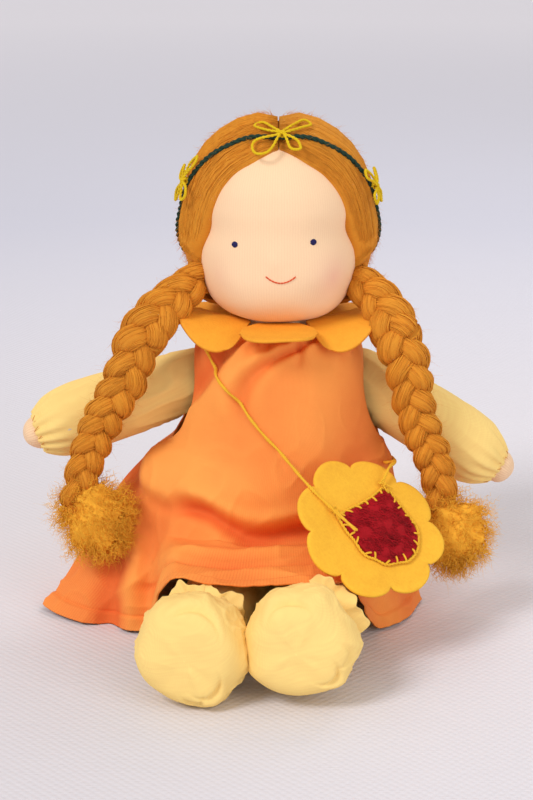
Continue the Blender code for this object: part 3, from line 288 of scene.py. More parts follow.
STRAP_LAID = [
    (-0.0015, -0.0600, 0.1108), (-0.0158, -0.0570, 0.1243), (-0.0236, -0.0530, 0.1329),
    (-0.0313, -0.0500, 0.1424), (-0.0405, -0.0400, 0.1539), (-0.0440, -0.0300, 0.1600),
    (-0.0430, -0.0030, 0.1662), (-0.0320, 0.0240, 0.1580), (-0.0180, 0.0420, 0.1400),
    (0.0060, 0.0480, 0.1180), (0.0340, 0.0450, 0.1010), (0.0540, 0.0280, 0.0900),
    (0.0660, 0.0020, 0.0860), (0.0650, -0.0220, 0.0900),
]
STRAP_BACK = [(0.0660, -0.0400, 0.0970), (0.0615, -0.0550, 0.0985)]


# Curves and noise


def unit(v):
    """Vectors divided by their lengths."""
    v = np.asarray(v, float)
    return v / np.maximum(np.linalg.norm(v, axis=-1, keepdims=True), 1e-12)


def step(low, high, at):
    """Nought below low, one above high, and 3t^2 - 2t^3 between."""
    t = np.clip((np.asarray(at, float) - low) / (high - low), 0.0, 1.0)
    return t * t * (3 - 2 * t)


def wrapped(angle):
    """Angles brought to between minus and plus half a turn."""
    return (angle + PI) % (2 * PI) - PI


def around(radius, angle, height):
    """Places round Z, by radius, angle from -Y towards +X, and height."""
    x, y = radius * np.sin(angle), -radius * np.cos(angle)
    return np.stack([x, y, np.broadcast_to(height, x.shape)], -1)


def bell(at, middle, width):
    """exp of minus the square of the distance from the middle over the width."""
    return np.exp(-(((np.asarray(at, float) - middle) / width) ** 2))


def flowing(points, count):
    """Catmull-Rom curve through the points, resampled to equal steps of its length."""
    p = np.asarray(points, float)
    p = np.vstack([2 * p[0] - p[1], p, 2 * p[-1] - p[-2]])
    spans = len(p) - 3
    t = np.linspace(0, spans, 40 * spans + 1)
    i = np.minimum(t.astype(int), spans - 1)
    f = (t - i)[:, None]
    a, b, c, d = p[i], p[i + 1], p[i + 2], p[i + 3]
    q = 2 * b + (c - a) * f + (2 * a - 5 * b + 4 * c - d) * f**2
    q = (q + (3 * b - a - 3 * c + d) * f**3) / 2
    s = np.r_[0, np.cumsum(np.linalg.norm(np.diff(q, axis=0), axis=1))]
    want = np.linspace(0, s[-1], count)
    return np.stack([np.interp(want, s, q[:, k]) for k in range(q.shape[1])], 1)


def length_of(path):
    """The sum of a path's steps."""
    return float(np.linalg.norm(np.diff(path, axis=0), axis=1).sum())


def ripple(points, size, seed, waves=9):
    """Smooth noise: sine waves of one length in seeded directions, added together."""
    rng = np.random.default_rng(seed)
    ways = unit(rng.normal(size=(waves, 3))) * 2 * PI / size
    phase = rng.uniform(0, 2 * PI, waves)
    return np.sin(np.asarray(points) @ ways.T + phase).sum(-1) / waves**0.5


def creases(points, size, seed):
    """Folds: one minus the size of smooth noise, squared, so that it has soft ridges."""
    return (1 - np.abs(np.clip(ripple(points, size, seed), -1, 1))) ** 2


def frames(paths, up=None, loop=False):
    """Unit vectors along, across and over each path, turned as little as possible."""
    if loop:
        along = unit(np.roll(paths, -1, 1) - np.roll(paths, 1, 1))
    else:
        along = unit(np.gradient(paths, axis=1))
    across = np.empty_like(along)
    if up is not None:
        across[:] = up
        across = unit(across - (across * along).sum(-1, keepdims=True) * along)
    else:
        pick = np.where(np.abs(along[:, :1, 2:]) < 0.9, [[[0, 0, 1.0]]], [[[1.0, 0, 0]]])
        last = np.cross(along[:, 0], pick[:, 0])
        for i in range(paths.shape[1]):
            last = unit(last - (last * along[:, i]).sum(-1, keepdims=True) * along[:, i])
            across[:, i] = last
    return along, across, np.cross(along, across)


def tubes(paths, radius, sides, up=None, loop=False):
    """Round sections carried along many paths at once: path + r (cos a N + sin a B)."""
    paths = np.asarray(paths, float)
    paths = paths[None] if paths.ndim == 2 else paths
    radius = np.broadcast_to(np.asarray(radius, float), paths.shape[:2])
    _, across, over = frames(paths, up, loop)
    a = np.arange(sides) * 2 * PI / sides
    ring = across[:, :, None] * np.cos(a)[:, None] + over[:, :, None] * np.sin(a)[:, None]
    return paths[:, :, None] + radius[:, :, None, None] * ring


def plied(path, radius, pitch, loop=False, up=None):
    """Two-ply yarn: each ply's centre turns once round the path in every pitch."""
    path = np.asarray(path, float)
    long = length_of(np.vstack([path, path[:1]]) if loop else path)
    turns = max(1.0, round(long / pitch))
    _, across, over = frames(path[None], up, loop)
    run = np.arange(len(path)) / (len(path) - (0 if loop else 1))
    a = 2 * PI * (turns * run + np.array([[0.0], [0.5]]))[..., None]
    paths = path + radius * 0.46 * (np.cos(a) * across + np.sin(a) * over)
    return tubes(paths, radius * 0.62, 6, loop=loop, up=across[0] if loop else None)


def yarn(kind, path, loop=False, up=None):
    """Two-ply yarn of one of the kinds in the table."""
    return plied(path, *YARNS[kind], loop, up)


def round_form(line, rows, columns):
    """A profile of (radius, height) turned about Z, and the angle of each column."""
    line = flowing(line, rows)
    turn = np.linspace(0, 2 * PI, columns, endpoint=False)
    return around(np.maximum(line[:, :1], 0.0), turn, line[:, 1:]), turn


def facing_out(grid):
    """Unit normals of a closed grid, from its two directions, pointing away from its middle."""
    along = np.gradient(grid, axis=0)
    around = np.roll(grid, -1, 1) - np.roll(grid, 1, 1)
    normal = unit(np.cross(along, around))
    away = grid - grid.mean((0, 1))
    return normal * np.sign((normal * away).sum(-1).sum() or 1.0)


def roughened(grid, kind, seed):
    """A closed grid made uneven along its normals by smooth noise."""
    height, size = ROUGH[kind]
    return grid + facing_out(grid) * (height * ripple(grid, size, seed))[..., None]


# Meshes


def part(points, wrap=True, loop=False, tone=0.5, flip=False):
    """Grids of points as faces, ends closed by a pole, with lengths in metres for their UVs."""
    points = np.asarray(points, float)
    points = points[None] if points.ndim == 3 else points
    k, n, m, _ = points.shape
    index = np.arange(k * n * m).reshape(k, n, m)
    rows = np.concatenate([index, index[:, :1]], 1) if loop else index
    cols = np.concatenate([rows, rows[:, :, :1]], 2) if wrap else rows
    verts = points.reshape(-1, 3)
    where = verts[cols]
    u = np.linalg.norm(np.diff(where, axis=2), axis=-1).mean(1).cumsum(-1)
    v = np.linalg.norm(np.diff(where, axis=1), axis=-1).mean(2).cumsum(-1)
    u = np.pad(u, ((0, 0), (1, 0)))[:, None, :, None]
    v = np.pad(v, ((0, 0), (1, 0)))[:, :, None, None]
    uv = np.concatenate(np.broadcast_arrays(u, v), -1)
    corners = ((0, 0), (0, 1), (1, 1), (1, 0))

    def corner(grid, i, j):
        return grid[:, i : grid.shape[1] - 1 + i, j : grid.shape[2] - 1 + j]

    quads = np.stack([corner(cols, i, j) for i, j in corners], -1).reshape(-1, 4)
    quad_uv = np.stack([corner(uv, i, j) for i, j in corners], -2).reshape(-1, 4, 2)
    tris, tri_uv = np.zeros((0, 3), int), np.zeros((0, 3, 2))
    tone = np.asarray(tone, float).reshape(np.shape(tone) + (1,) * (3 - np.ndim(tone)))
    tones = np.broadcast_to(tone, (k, n, m)).ravel()
    if wrap and not loop:
        top, end = points[:, 0].mean(1), points[:, -1].mean(1)
        base = len(verts)
        verts = np.concatenate([verts, top, end])
        first = np.broadcast_to((base + np.arange(k))[:, None], (k, m))
        last = first + k
        tops = np.stack([first, cols[:, 0, 1:], cols[:, 0, :-1]], -1).reshape(-1, 3)
        ends = np.stack([last, cols[:, -1, :-1], cols[:, -1, 1:]], -1).reshape(-1, 3)
        tris = np.concatenate([tops, ends])
        top_uv = np.stack([uv[:, 0, 1:], uv[:, 0, 1:], uv[:, 0, :-1]], -2).reshape(-1, 3, 2)
        end_uv = np.stack([uv[:, -1, 1:], uv[:, -1, :-1], uv[:, -1, 1:]], -2).reshape(-1, 3, 2)
        tri_uv = np.concatenate([top_uv, end_uv])
        grid_tones = tones.reshape(k, n, m)
        tones = np.concatenate([tones, grid_tones[:, 0].mean(1), grid_tones[:, -1].mean(1)])
    if wrap:
        a, b, c, d = (verts[quads[:, i]] for i in range(4))
        middle = verts.mean(0)
        volume = ((a - middle) * np.cross(b - middle, c - middle)).sum()
        volume += ((a - middle) * np.cross(c - middle, d - middle)).sum()
        flip = volume < 0
    if flip:
        quads, quad_uv = quads[:, ::-1], quad_uv[:, ::-1]
        tris, tri_uv = tris[:, ::-1], tri_uv[:, ::-1]
    return verts, quads, tris, quad_uv, tri_uv, tones


def make(name, parts):
    """One mesh object from parts, its points, faces, UVs and tones set as whole arrays."""
    verts, quads, tris, quad_uv, tri_uv, tones = zip(*parts)
    base = np.cumsum([0, *(len(v) for v in verts)])
    quads, tris = (np.concatenate([f + b for f, b in zip(faces, base)]) for faces in (quads, tris))
    verts = np.concatenate(verts)
    uv = np.concatenate([u.reshape(-1, 2) for u in (*quad_uv, *tri_uv)])
    data = bpy.data.meshes.new(name)
    data.vertices.add(len(verts))
    data.vertices.foreach_set("co", verts.ravel())
    loops = np.concatenate([quads.ravel(), tris.ravel()])
    data.loops.add(len(loops))
    data.loops.foreach_set("vertex_index", loops)
    starts = np.cumsum(np.r_[0, np.full(len(quads), 4), np.full(len(tris), 3)])[:-1]
    data.polygons.add(len(starts))
    data.polygons.foreach_set("loop_start", starts)
    data.polygons.foreach_set("use_smooth", np.ones(len(starts), bool))
    data.uv_layers.new(name="UVMap").data.foreach_set("uv", uv.ravel())
    data.attributes.new("tone", "FLOAT", "POINT").data.foreach_set("value", np.concatenate(tones))
    data.update(calc_edges=True)
    data.validate()
    item = bpy.data.objects.new(name, data)
    bpy.context.scene.collection.objects.link(item)
    return item


def piece(name, parts, look, body, *nodes, wall=None, offset=-1.0):
    """A mesh with its material and slot, the nodes that it stands for and its body.

    A wall gives an open sheet its thickness. Without a body, the piece is not attached to one.
    """
    item = make(name, parts)
    if wall:
        shell = item.modifiers.new("wall", "SOLIDIFY")
        shell.thickness = wall
        shell.offset = offset
    item.data.materials.append(bpy.data.materials[LOOK + look])
    if nodes:
        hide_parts(*nodes)
    if body:
        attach(item, body)
    return item


def moved(points, at, turn):
    """Points turned by a 3 by 3 matrix and then carried to a place."""
    return np.asarray(points) @ np.asarray(turn, float).T + np.asarray(at, float)


def hairs(feet, ways, long, radius, seed, bend):
    """Fine fibres that stand off a surface and bend aside: foot + way t + bend t^2."""
    rng = np.random.default_rng(seed)
    t = np.linspace(0, 1, 5)[None, :, None]
    reach = long * rng.uniform(0.4, 1.0, (len(feet), 1, 1))
    aside = unit(rng.normal(size=(len(feet), 1, 3)))
    paths = feet[:, None] + reach * (ways[:, None] * t + bend * aside * t**2)
    return tubes(paths, radius * (1 - 0.8 * t[..., 0]), 3)


def stitches(points, ups, radius):
    """Short stitches, each an arc of thread that rises from the cloth and goes back in."""
    s = np.linspace(0, 1, 9)[None, :, None]
    a, b = points[:, :1], points[:, 1:]
    ups = np.broadcast_to(ups, points[:, 0].shape)[:, None]
    paths = a + (b - a) * s + ups * (np.sin(PI * s) * radius * 1.2 - radius * 0.5)
    return part(tubes(paths, radius, 6))


# Materials


def lin(code):
    """A colour of six hex digits in linear values."""
    rgb = np.array([int(code[i : i + 2], 16) for i in (0, 2, 4)]) / 255
    linear = np.where(rgb <= 0.04045, rgb / 12.92, ((rgb + 0.055) / 1.055) ** 2.4)
    return tuple(float(c) for c in linear)


class Graph:
    """Adds nodes to a tree, and links or sets what each is given."""

    def __init__(self, tree):
        self.tree = tree

    def put(self, kind, inputs=None, **settings):
        """A new shader node, with its inputs linked or set and its settings made."""
        node = self.tree.nodes.new("ShaderNode" + kind)
        for key, value in settings.items():
            setattr(node, key, value)
        for key, value in (inputs or {}).items():
            if isinstance(value, bpy.types.NodeSocket):
                self.tree.links.new(value, node.inputs[key])
            else:
                node.inputs[key].default_value = value
        return node

    def sum(self, how, *values):
        """The result of a maths node on the values."""
        return self.put("Math", dict(enumerate(values)), operation=how).outputs[0]

    def noise(self, at, scale, detail=2.0):
        """Noise of a scale and detail at places."""
        values = {"Vector": at, "Scale": scale, "Detail": detail}
        return self.put("TexNoise", values).outputs[0]

    def stretched(self, at, scale, turn=(0.0, 0.0, 0.0)):
        """Places turned, and multiplied by a scale for each axis."""
        values = {"Vector": at, "Scale": scale, "Rotation": turn}
        return self.put("Mapping", values).outputs[0]

    def split(self, at):
        """The x, y and z of places."""
        return self.put("SeparateXYZ", {0: at}).outputs

    def mix(self, share, a, b):
        """Colour a turned into colour b by a share."""
        return self.put("Mix", {0: share, 6: a, 7: b}, data_type="RGBA").outputs[2]

    def shrunk(self, at):
        """A group's places divided by its size."""
        size = self.sum("DIVIDE", 1.0, at["Size"])
        values = {0: at["Vector"], "Scale": size}
        return self.put("VectorMath", values, operation="SCALE").outputs[0]

    def pattern(self, name, at, **values):
        """The outputs of a pattern group laid on places, with its numbers set."""
        made = self.put("Group", node_tree=bpy.data.node_groups[name])
        self.tree.links.new(at, made.inputs["Vector"])
        for key, value in values.items():
            made.inputs[key].default_value = value
        return made.outputs


def group(name, inputs, fill):
    """A node group with a vector and number inputs, which puts out a height and a tone."""
    tree = bpy.data.node_groups.new(name, "ShaderNodeTree")
    tree.interface.new_socket("Vector", in_out="INPUT", socket_type="NodeSocketVector")
    for label, value in inputs:
        socket = tree.interface.new_socket(label, in_out="INPUT", socket_type="NodeSocketFloat")
        socket.default_value = value
    for label in ("Height", "Tone"):
        tree.interface.new_socket(label, in_out="OUTPUT", socket_type="NodeSocketFloat")
    source, sink = tree.nodes.new("NodeGroupInput"), tree.nodes.new("NodeGroupOutput")
    for k, value in enumerate(fill(Graph(tree), source.outputs)):
        tree.links.new(value, sink.inputs[k])
    return tree


def knit_group(g, at):
    """Columns of loops: ribs |sin(pi x / w)| whose loops lean one way and the other."""
    x, y, _ = g.split(at["Vector"])
    across = g.sum("DIVIDE", x, at["Size"])
    rib = g.sum("ABSOLUTE", g.sum("SINE", g.sum("MULTIPLY", across, PI)))
    lean = g.sum("MULTIPLY", g.sum("PINGPONG", across, 0.5), 2.4)
    up = g.sum("ADD", g.sum("DIVIDE", y, g.sum("MULTIPLY", at["Size"], 0.8)), lean)
    loop = g.sum("ABSOLUTE", g.sum("SINE", g.sum("MULTIPLY", up, PI)))
    loops = g.sum("MULTIPLY_ADD", loop, at["Loops"], g.sum("SUBTRACT", 1.0, at["Loops"]))
    height = g.sum("MULTIPLY", rib, loops)
    lint = g.noise(at["Vector"], 1500.0, 3.0)
    ribs = g.sum("MULTIPLY", g.sum("SUBTRACT", height, 0.5), at["Ribs"])
    # Painted shade: the tone follows the rib height, so the grooves between ribs are darker; the
    # lint is the yarn's own tone
    tone = g.sum("ADD", g.sum("MULTIPLY_ADD", lint, 0.4, 0.3), g.sum("MULTIPLY", ribs, 0.6))
    return g.sum("MULTIPLY_ADD", lint, 0.5, ribs), tone


def weave_group(g, at):
    """Plain weave: sin x and sin y cross, each thread over and under the next, with slubs."""
    x, y, _ = g.split(at["Vector"])
    slub = g.noise(g.stretched(at["Vector"], (60.0, 900.0, 1.0)), 1.0)
    wide = g.sum("DIVIDE", PI, at["Size"])
    a = g.sum("SINE", g.sum("MULTIPLY", x, wide))
    b = g.sum("SINE", g.sum("MULTIPLY", y, wide))
    over = g.sum("MULTIPLY_ADD", g.sum("MULTIPLY", a, b), 0.5, 0.5)
    height = g.sum("MULTIPLY_ADD", slub, 0.6, g.sum("MULTIPLY", over, 0.6))
    # Painted shade: where a thread dips under the next its tone is darker; the slubs are the
    # thread's own tone
    return height, g.sum("MULTIPLY_ADD", over, 0.3, g.sum("MULTIPLY", slub, 0.7))


def felt_group(g, at):
    """Matted fibres: three noises, each drawn out along another way, the highest shows."""
    here, turns = g.shrunk(at), ((0, 0, 0.4), (0.5, 0, 1.5), (0.2, 0.9, 2.6))
    ways = [g.noise(g.stretched(here, (1.0, 0.16, 0.6), turn), 1.0, 3.0) for turn in turns]
    high = g.sum("MAXIMUM", g.sum("MAXIMUM", ways[0], ways[1]), ways[2])
    patch = g.noise(at["Vector"], 160.0, 3.0)
    # Painted shade: the highest fibres are lighter and the hollows between them darker; the
    # patches are the felt's own tone
    return high, g.sum("MULTIPLY_ADD", high, 0.7, g.sum("MULTIPLY", patch, 0.4))


def wool_group(g, at):
    """Fibres that run along the strand: noise drawn out along v."""
    here = g.shrunk(at)
    streak = g.noise(g.stretched(here, (1.0, 0.07, 1.0)), 1.0, 3.0)
    slow = g.sum("MULTIPLY", g.noise(here, 0.05), 0.2)
    # Painted shade: the streaks that stand highest are lighter and the grooves between them
    # darker; the slow change is the wool's own tone
    return streak, g.sum("MULTIPLY_ADD", streak, 0.8, slow)


def handling_group(g, at):
    """Handling: slow changes of tone, and a worn, lighter share where the tone is high."""
    slow = g.noise(at["Vector"], 28.0, 3.0)
    spots = g.noise(at["Vector"], 210.0, 2.0)
    tone = g.sum("MULTIPLY_ADD", slow, 0.7, g.sum("MULTIPLY", spots, 0.3))
    swing = g.sum("MULTIPLY", g.sum("SUBTRACT", tone, 0.5), at["Amount"])
    return tone, swing


GROUPS = {
    "knit": (knit_group, [("Size", 0.001), ("Loops", 0.5), ("Ribs", 1.0)]),
    "weave": (weave_group, [("Size", 0.0004)]),
    "felt": (felt_group, [("Size", 0.0004)]),
    "wool": (wool_group, [("Size", 0.0003)]),
    "handling": (handling_group, [("Amount", 0.3)]),
}


# What a finish has unless its row in the table says otherwise
PLAIN = dict(
    bump=0.4, depth=0.0003, sheen=0.06, drift=0.35, own=0.0, by_place=False, blush=(), knit={}
)


def fabric(name, colour, deep, pattern, size, **more):
    """A cloth, felt or wool finish: a pattern group, handling, the piece's tone and a bump; low
    tones bring in the deep colour, painted shade in hollows and folds.
    """
    want = {**PLAIN, **more}
    made = bpy.data.materials.new(LOOK + name)
    made.use_nodes = True
    tree = made.node_tree
    tree.nodes.clear()
    g = Graph(tree)
    place = g.put("TexCoord").outputs["Object"]
    if want["by_place"]:
        at = g.stretched(place, (1.0, 1.0, 1.0), (0.9, 0.5, 0.3))
    else:
        at = g.put("UVMap", uv_map="UVMap").outputs[0]
    surface = g.pattern(pattern, at, Size=size, **want["knit"])
    wear = g.pattern("handling", place, Amount=want["drift"])
    # The piece's tone: random per strand on the wool, and painted shade of the folds on the dress
    # front
    own = g.put("Attribute", attribute_name="tone").outputs["Fac"]
    own = g.sum("MULTIPLY", g.sum("SUBTRACT", own, 0.5), want["own"])
    share = g.sum("ADD", g.sum("ADD", surface["Tone"], wear["Tone"]), own)
    share = g.sum("MINIMUM", g.sum("MAXIMUM", share, 0.0), 1.0)
    shade = g.mix(share, (*deep, 1.0), (*colour, 1.0))
    for centre, reach, amount, tint in want["blush"]:
        values = {0: place, 1: centre}
        apart = g.put("VectorMath", values, operation="DISTANCE").outputs["Value"]
        near = g.sum("MAXIMUM", g.sum("SUBTRACT", 1.0, g.sum("DIVIDE", apart, reach)), 0.0)
        near = g.sum("MULTIPLY", g.sum("MULTIPLY", near, near), amount)
        shade = g.mix(near, shade, (*lin(tint), 1.0))
    rough = g.sum("MULTIPLY_ADD", surface["Tone"], -0.12, 0.91)
    values = {"Strength": want["bump"], "Distance": want["depth"], "Height": surface["Height"]}
    values = {
        "Base Color": shade,
        "Roughness": rough,
        "Normal": g.put("Bump", values).outputs[0],
        "Sheen Weight": want["sheen"],
        "Sheen Roughness": 0.45,
        "Sheen Tint": (*colour, 1.0),
        "Specular IOR Level": 0.25,
    }
    end = tree.nodes.new("ShaderNodeOutputMaterial")
    tree.links.new(g.put("BsdfPrincipled", values).outputs[0], end.inputs[0])


# Places, reaches, amounts and tints of the blush on the cheeks: the doll's own pink, made stronger
# on the viewer's right cheek, away from the key light, as painted shade
CHEEK_BLUSH_AND_SHADE = (
    ((0.030, -0.033, 0.203), 0.024, 0.45, "F4A99A"),
    ((-0.033, -0.030, 0.203), 0.022, 0.22, "F6B49E"),
)
THREAD = dict(bump=0.4, depth=0.0001)
FELT = dict(bump=0.5, depth=0.0004, by_place=True, own=0.3)
YARN = dict(bump=0.5, depth=0.0002, own=0.2)
WOOL = dict(bump=0.30, depth=0.0002, sheen=0.20, own=0.40)
SKIN_KNIT = dict(Loops=0.25, Ribs=0.6)
DRESS_KNIT = dict(Loops=0.35, Ribs=0.45)
# Each finish: its slot, its light and dark shade, its pattern and pattern size, and the rest.
# A shade is a hex code, or a colour setting with a share and a share of green and blue.
FINISHES = {
    "skin_jersey": (
        "skin_jersey", ("skin", 1, 1), ("skin", 0.92, 0.92), "knit", 0.00105,
        dict(bump=0.28, drift=0.25, knit=SKIN_KNIT, blush=CHEEK_BLUSH_AND_SHADE),
    ),
    "hand_jersey": (
        "skin_jersey", ("skin", 1, 1), ("skin", 0.80, 0.88), "knit", 0.0010,
        dict(bump=0.35, depth=0.00025, drift=0.3, knit=dict(Loops=0.25)),
    ),
    "fleece": (
        "fleece_wool", "EDE6D2", "B9AE93", "wool", 0.0006, dict(bump=0.6, depth=0.0006, drift=0.5),
    ),
    "hair_wool": (
        "hair_wool", ("hair", 1, 1), ("hair", 0.58, 0.80), "wool", 0.00024, dict(WOOL, drift=0.5),
    ),
    # The tufts' finish is the hair wool made lighter: painted light that offsets the shade falling
    # among the tuft's dense fibres
    "tuft_wool": (
        "hair_wool", ("hair", 1.08, 1.28), ("hair", 0.95, 1.16), "wool", 0.00024,
        dict(WOOL, bump=0.25),
    ),
    "wrist_thread": ("mouth_thread", "E8A860", "C07A3C", "wool", 0.0002, THREAD),
    # The velour's dark shade is the painted shade of the dress's folds, brought in by the front's
    # tone
    "velour": (
        "orange_velour", ("dress", 1, 1), ("dress", 0.82, 0.52), "knit", 0.0011,
        dict(depth=0.0004, sheen=0.15, own=1.1, knit=DRESS_KNIT),
    ),
    "cotton": (
        "yellow_cotton", ("cotton", 1, 1), ("cotton", 0.90, 0.86), "weave", 0.00042,
        dict(bump=0.25, depth=0.00016, drift=0.3, by_place=True),
    ),
    "collar_felt": (
        "ochre_felt", ("collar", 1, 1), ("collar", 0.78, 0.76), "felt", 0.0009,
        dict(FELT, bump=0.55),
    ),
    "bag_felt": ("yellow_felt", ("bag", 1, 1), ("bag", 0.74, 0.70), "felt", 0.0009, FELT),
    "pocket_felt": (
        "red_felt", ("pocket", 1, 1), ("pocket", 0.35, 0.5), "felt", 0.0012,
        dict(bump=0.8, depth=0.0008, by_place=True, own=0.9, drift=0.8),
    ),
    "flower_yarn": ("yellow_yarn", ("flower", 1, 1), ("flower", 0.66, 0.72), "wool", 0.0003, YARN),
    "strap_yarn": ("yellow_yarn", ("strap", 1, 1), ("strap", 0.70, 0.66), "wool", 0.0003, YARN),
    "band_yarn": (
        "green_yarn", ("band", 1, 1), ("band", 0.35, 0.9), "wool", 0.0003, dict(YARN, own=0.3),
    ),
    "eye_thread": ("eye_thread", ("eye", 1, 1), ("eye", 0.5, 0.9), "wool", 0.0002, THREAD),
    "mouth_thread": ("mouth_thread", ("mouth", 1, 1), ("mouth", 0.7, 0.8), "wool", 0.0002, THREAD),
    "pale_thread": ("pale_thread", "E6CDA0", "A88C5C", "wool", 0.0002, THREAD),
}
# The looks of the carried nodes, by slot; cotton elsewhere
CARRIED_LOOKS = {"fleece_wool": "fleece", "pale_thread": "pale_thread"}


# Head


def polar_reach(line):
    """For a profile about Z: the distance from the head's centre by angle from straight up."""
    line = flowing(line, 400)
    r, z = line[:, 0], line[:, 1] - HEAD_CENTRE[2]
    angle, reach = np.arctan2(r, z), np.hypot(r, z)
    order = np.argsort(angle)
    return angle[order], reach[order]


SKIN_REACH, HAIR_REACH = polar_reach(HEAD_LINE[:-3]), polar_reach(HAIR_LINE)


def on_form(ways, table, lift=0.0):
    """Points where ways from the head's centre meet a turned form, lifted off it."""
    ways = unit(ways)
    angle = np.arccos(np.clip(ways[..., 2], -1, 1))
    reach = np.interp(angle, *table) + lift
    return HEAD_CENTRE + ways * reach[..., None]


def head_form():
    """The stuffed head: a turned profile, plus a small nose, cheeks and slow unevenness."""
    grid, turn = round_form(HEAD_LINE, *GRIDS["head"])
    a = wrapped(turn - FACE_TURN)
    z = grid[..., 2]
    swell = 0.0007 * bell(a, 0, 0.10) * bell(z, 0.2115, 0.0060)
    swell = swell + 0.0012 * bell(np.abs(a), 0.62, 0.30) * bell(z, 0.2030, 0.0120)
    swell = swell - 0.0016 * bell(np.abs(a), 1.25, 0.42) * bell(z, 0.2265, 0.0075)
    swell = swell + 0.0003 * ripple(grid, 0.03, 4)
    return grid + facing_out(grid) * swell[..., None] * step(0.170, 0.178, z)[..., None]


def on_face(a, z, form):
    """Places on the face at angles from straight ahead and heights, and their normals.

    The nearest of the head form's points is moved along the form to the wanted angle.
    """
    spot = np.stack([np.sin(a) * 0.042, -np.cos(a) * 0.042, z + 0 * a], -1)
    points, normals = form[8:-8].reshape(-1, 3), facing_out(form)[8:-8].reshape(-1, 3)
    gap = np.linalg.norm(points[None] - spot[:, None], axis=-1)
    share = np.exp(-((gap / (gap.min(1, keepdims=True) + 0.0008)) ** 6))
    share = share / share.sum(1, keepdims=True)
    near, out = share @ points, unit(share @ normals)
    way = unit(spot * np.array([1.0, 1.0, 0.0]))
    lift = ((near - spot) * out).sum(-1, keepdims=True) / (way * out).sum(-1, keepdims=True)
    return spot + way * lift, out


def slerp(a, b, t):
    """Unit vectors from a to b along the great circle."""
    angle = np.arccos(np.clip((a * b).sum(-1, keepdims=True), -1, 1))
    sin = np.maximum(np.sin(angle), TINY)
    return (np.sin((1 - t) * angle) * a + np.sin(t * angle) * b) / sin


def combed(side, t, v, lift):
    """Hair from the parting, t from forehead to nape, down to the gather as v goes to one.

    The way is a great circle from the parting to the gather, pulled to the edge of the face
    at the forehead. It ends on a disc of the lock's thickness.
    """
    sign = np.array([side, 1.0, 1.0])
    fi = PARTING_FRONT + (PARTING_BACK - PARTING_FRONT) * t
    root = np.stack([0 * fi + 1e-4 * side, np.sin(fi), np.cos(fi)], -1)
    goal = unit(GATHER * sign - HEAD_CENTRE)
    ways = slerp(root, goal, v[..., None])
    first = np.array([1e-4 * side, np.sin(PARTING_FRONT), np.cos(PARTING_FRONT)])
    plain = slerp(first, goal, v[..., None])
    edge = flowing(np.array(FACE_EDGE) * sign, 200)
    s = np.linspace(0, 1, 200)
    ahead = unit(np.stack([np.interp(v, s, edge[:, k]) for k in range(3)], -1) - HEAD_CENTRE)
    near = 1 - step(0.0, 0.30, t)[..., None]
    ways = unit(ways + (ahead - plain) * near)
    edge_roll = np.sqrt(np.clip(1 - (1 - np.clip(t / 0.16, 0, 1)) ** 2, 0, 1))
    full = edge_roll * (1 - 0.35 * bell(v, 0.0, 0.030))
    low = on_form(ways, SKIN_REACH, -0.0014)
    high = on_form(ways, HAIR_REACH)
    out = low + (high - low) * (0.96 * full)[..., None]
    out = out + unit(out - HEAD_CENTRE) * lift[..., None]
    out = out + (0.0050 * full * bell(v, 0.93, 0.16))[..., None] * np.array([side, 0.0, 0.0])
    lock = flowing(LOCKS["left" if side < 0 else "right"], 30)
    _, across, over = (f[0, 0] for f in frames(lock[None], up=(0.0, 0.0, 1.0)))
    turn = 2 * PI * (0.30 - t)
    disc = across * np.cos(turn)[..., None] + side * over * np.sin(turn)[..., None]
    end = lock[0] + disc * (0.0088 + lift)[..., None]
    share = step(0.78, 1.0, v)[..., None]
    return out * (1 - share) + end * share


def hair_sheet(side):
    """The wool's opaque under layer, on a grid of t and v."""
    t, v = np.meshgrid(np.linspace(0.0, 1.0, 90), np.linspace(0.0, 1.0, 60), indexing="ij")
    form = combed(side, t, v, -0.0011 - 0.0016 * bell(v, 0.0, 0.09))
    return part(form, wrap=False, flip=side > 0)


def hair_strands(side, count, seed):
    """Combed strands, each with its own place, height and slow wander."""
    rng = np.random.default_rng(seed)
    rows = 12
    t = (np.arange(count) + rng.uniform(0, 1, count)) / count
    v = np.linspace(0.004, 1.0, rows)
    wander = rng.normal(0, 0.010, (count, 1)) * np.sin(PI * v)
    beat = v * rng.uniform(1, 3, (count, 1)) + rng.uniform(0, 1, (count, 1))
    wander = wander + 0.003 * np.sin(2 * PI * beat)
    tt = np.clip(t[:, None] + wander * (0.25 + 0.75 * step(0, 0.06, t))[:, None], 0.0, 1.0)
    high = rng.uniform(-0.0001, 0.0009, (count, 1)) * np.ones(rows)
    paths = combed(side, tt, np.broadcast_to(v, tt.shape), high)
    full = 0.35 + 0.65 * np.sin(PI * np.clip(v, 0.03, 0.97)) ** 0.4
    radius = rng.uniform(0.00021, 0.00044, (count, 1)) * full
    return part(tubes(paths, radius, 3), tone=rng.uniform(0, 1, count))


def hair_fuzz(side, count, seed):
    """Loose fine hairs that stand off the combed wool."""
    rng = np.random.default_rng(seed)
    t, v = rng.uniform(0.0, 1, count), rng.uniform(0.02, 0.9, count)
    feet, ahead = (combed(side, t, at, np.full(count, GAP)) for at in (v, v + 0.02))
    feet, ahead = (a[feet[:, 2] > 0.200] for a in (feet, ahead))
    lean = unit(ahead - feet) + 0.62 * unit(feet - HEAD_CENTRE)
    ways = unit(lean + rng.normal(0, 0.30, feet.shape))
    fibres = hairs(feet, ways, 0.0050, 0.00008, seed + 1, 0.6)
    return part(fibres, tone=rng.uniform(0.4, 1, len(feet)))


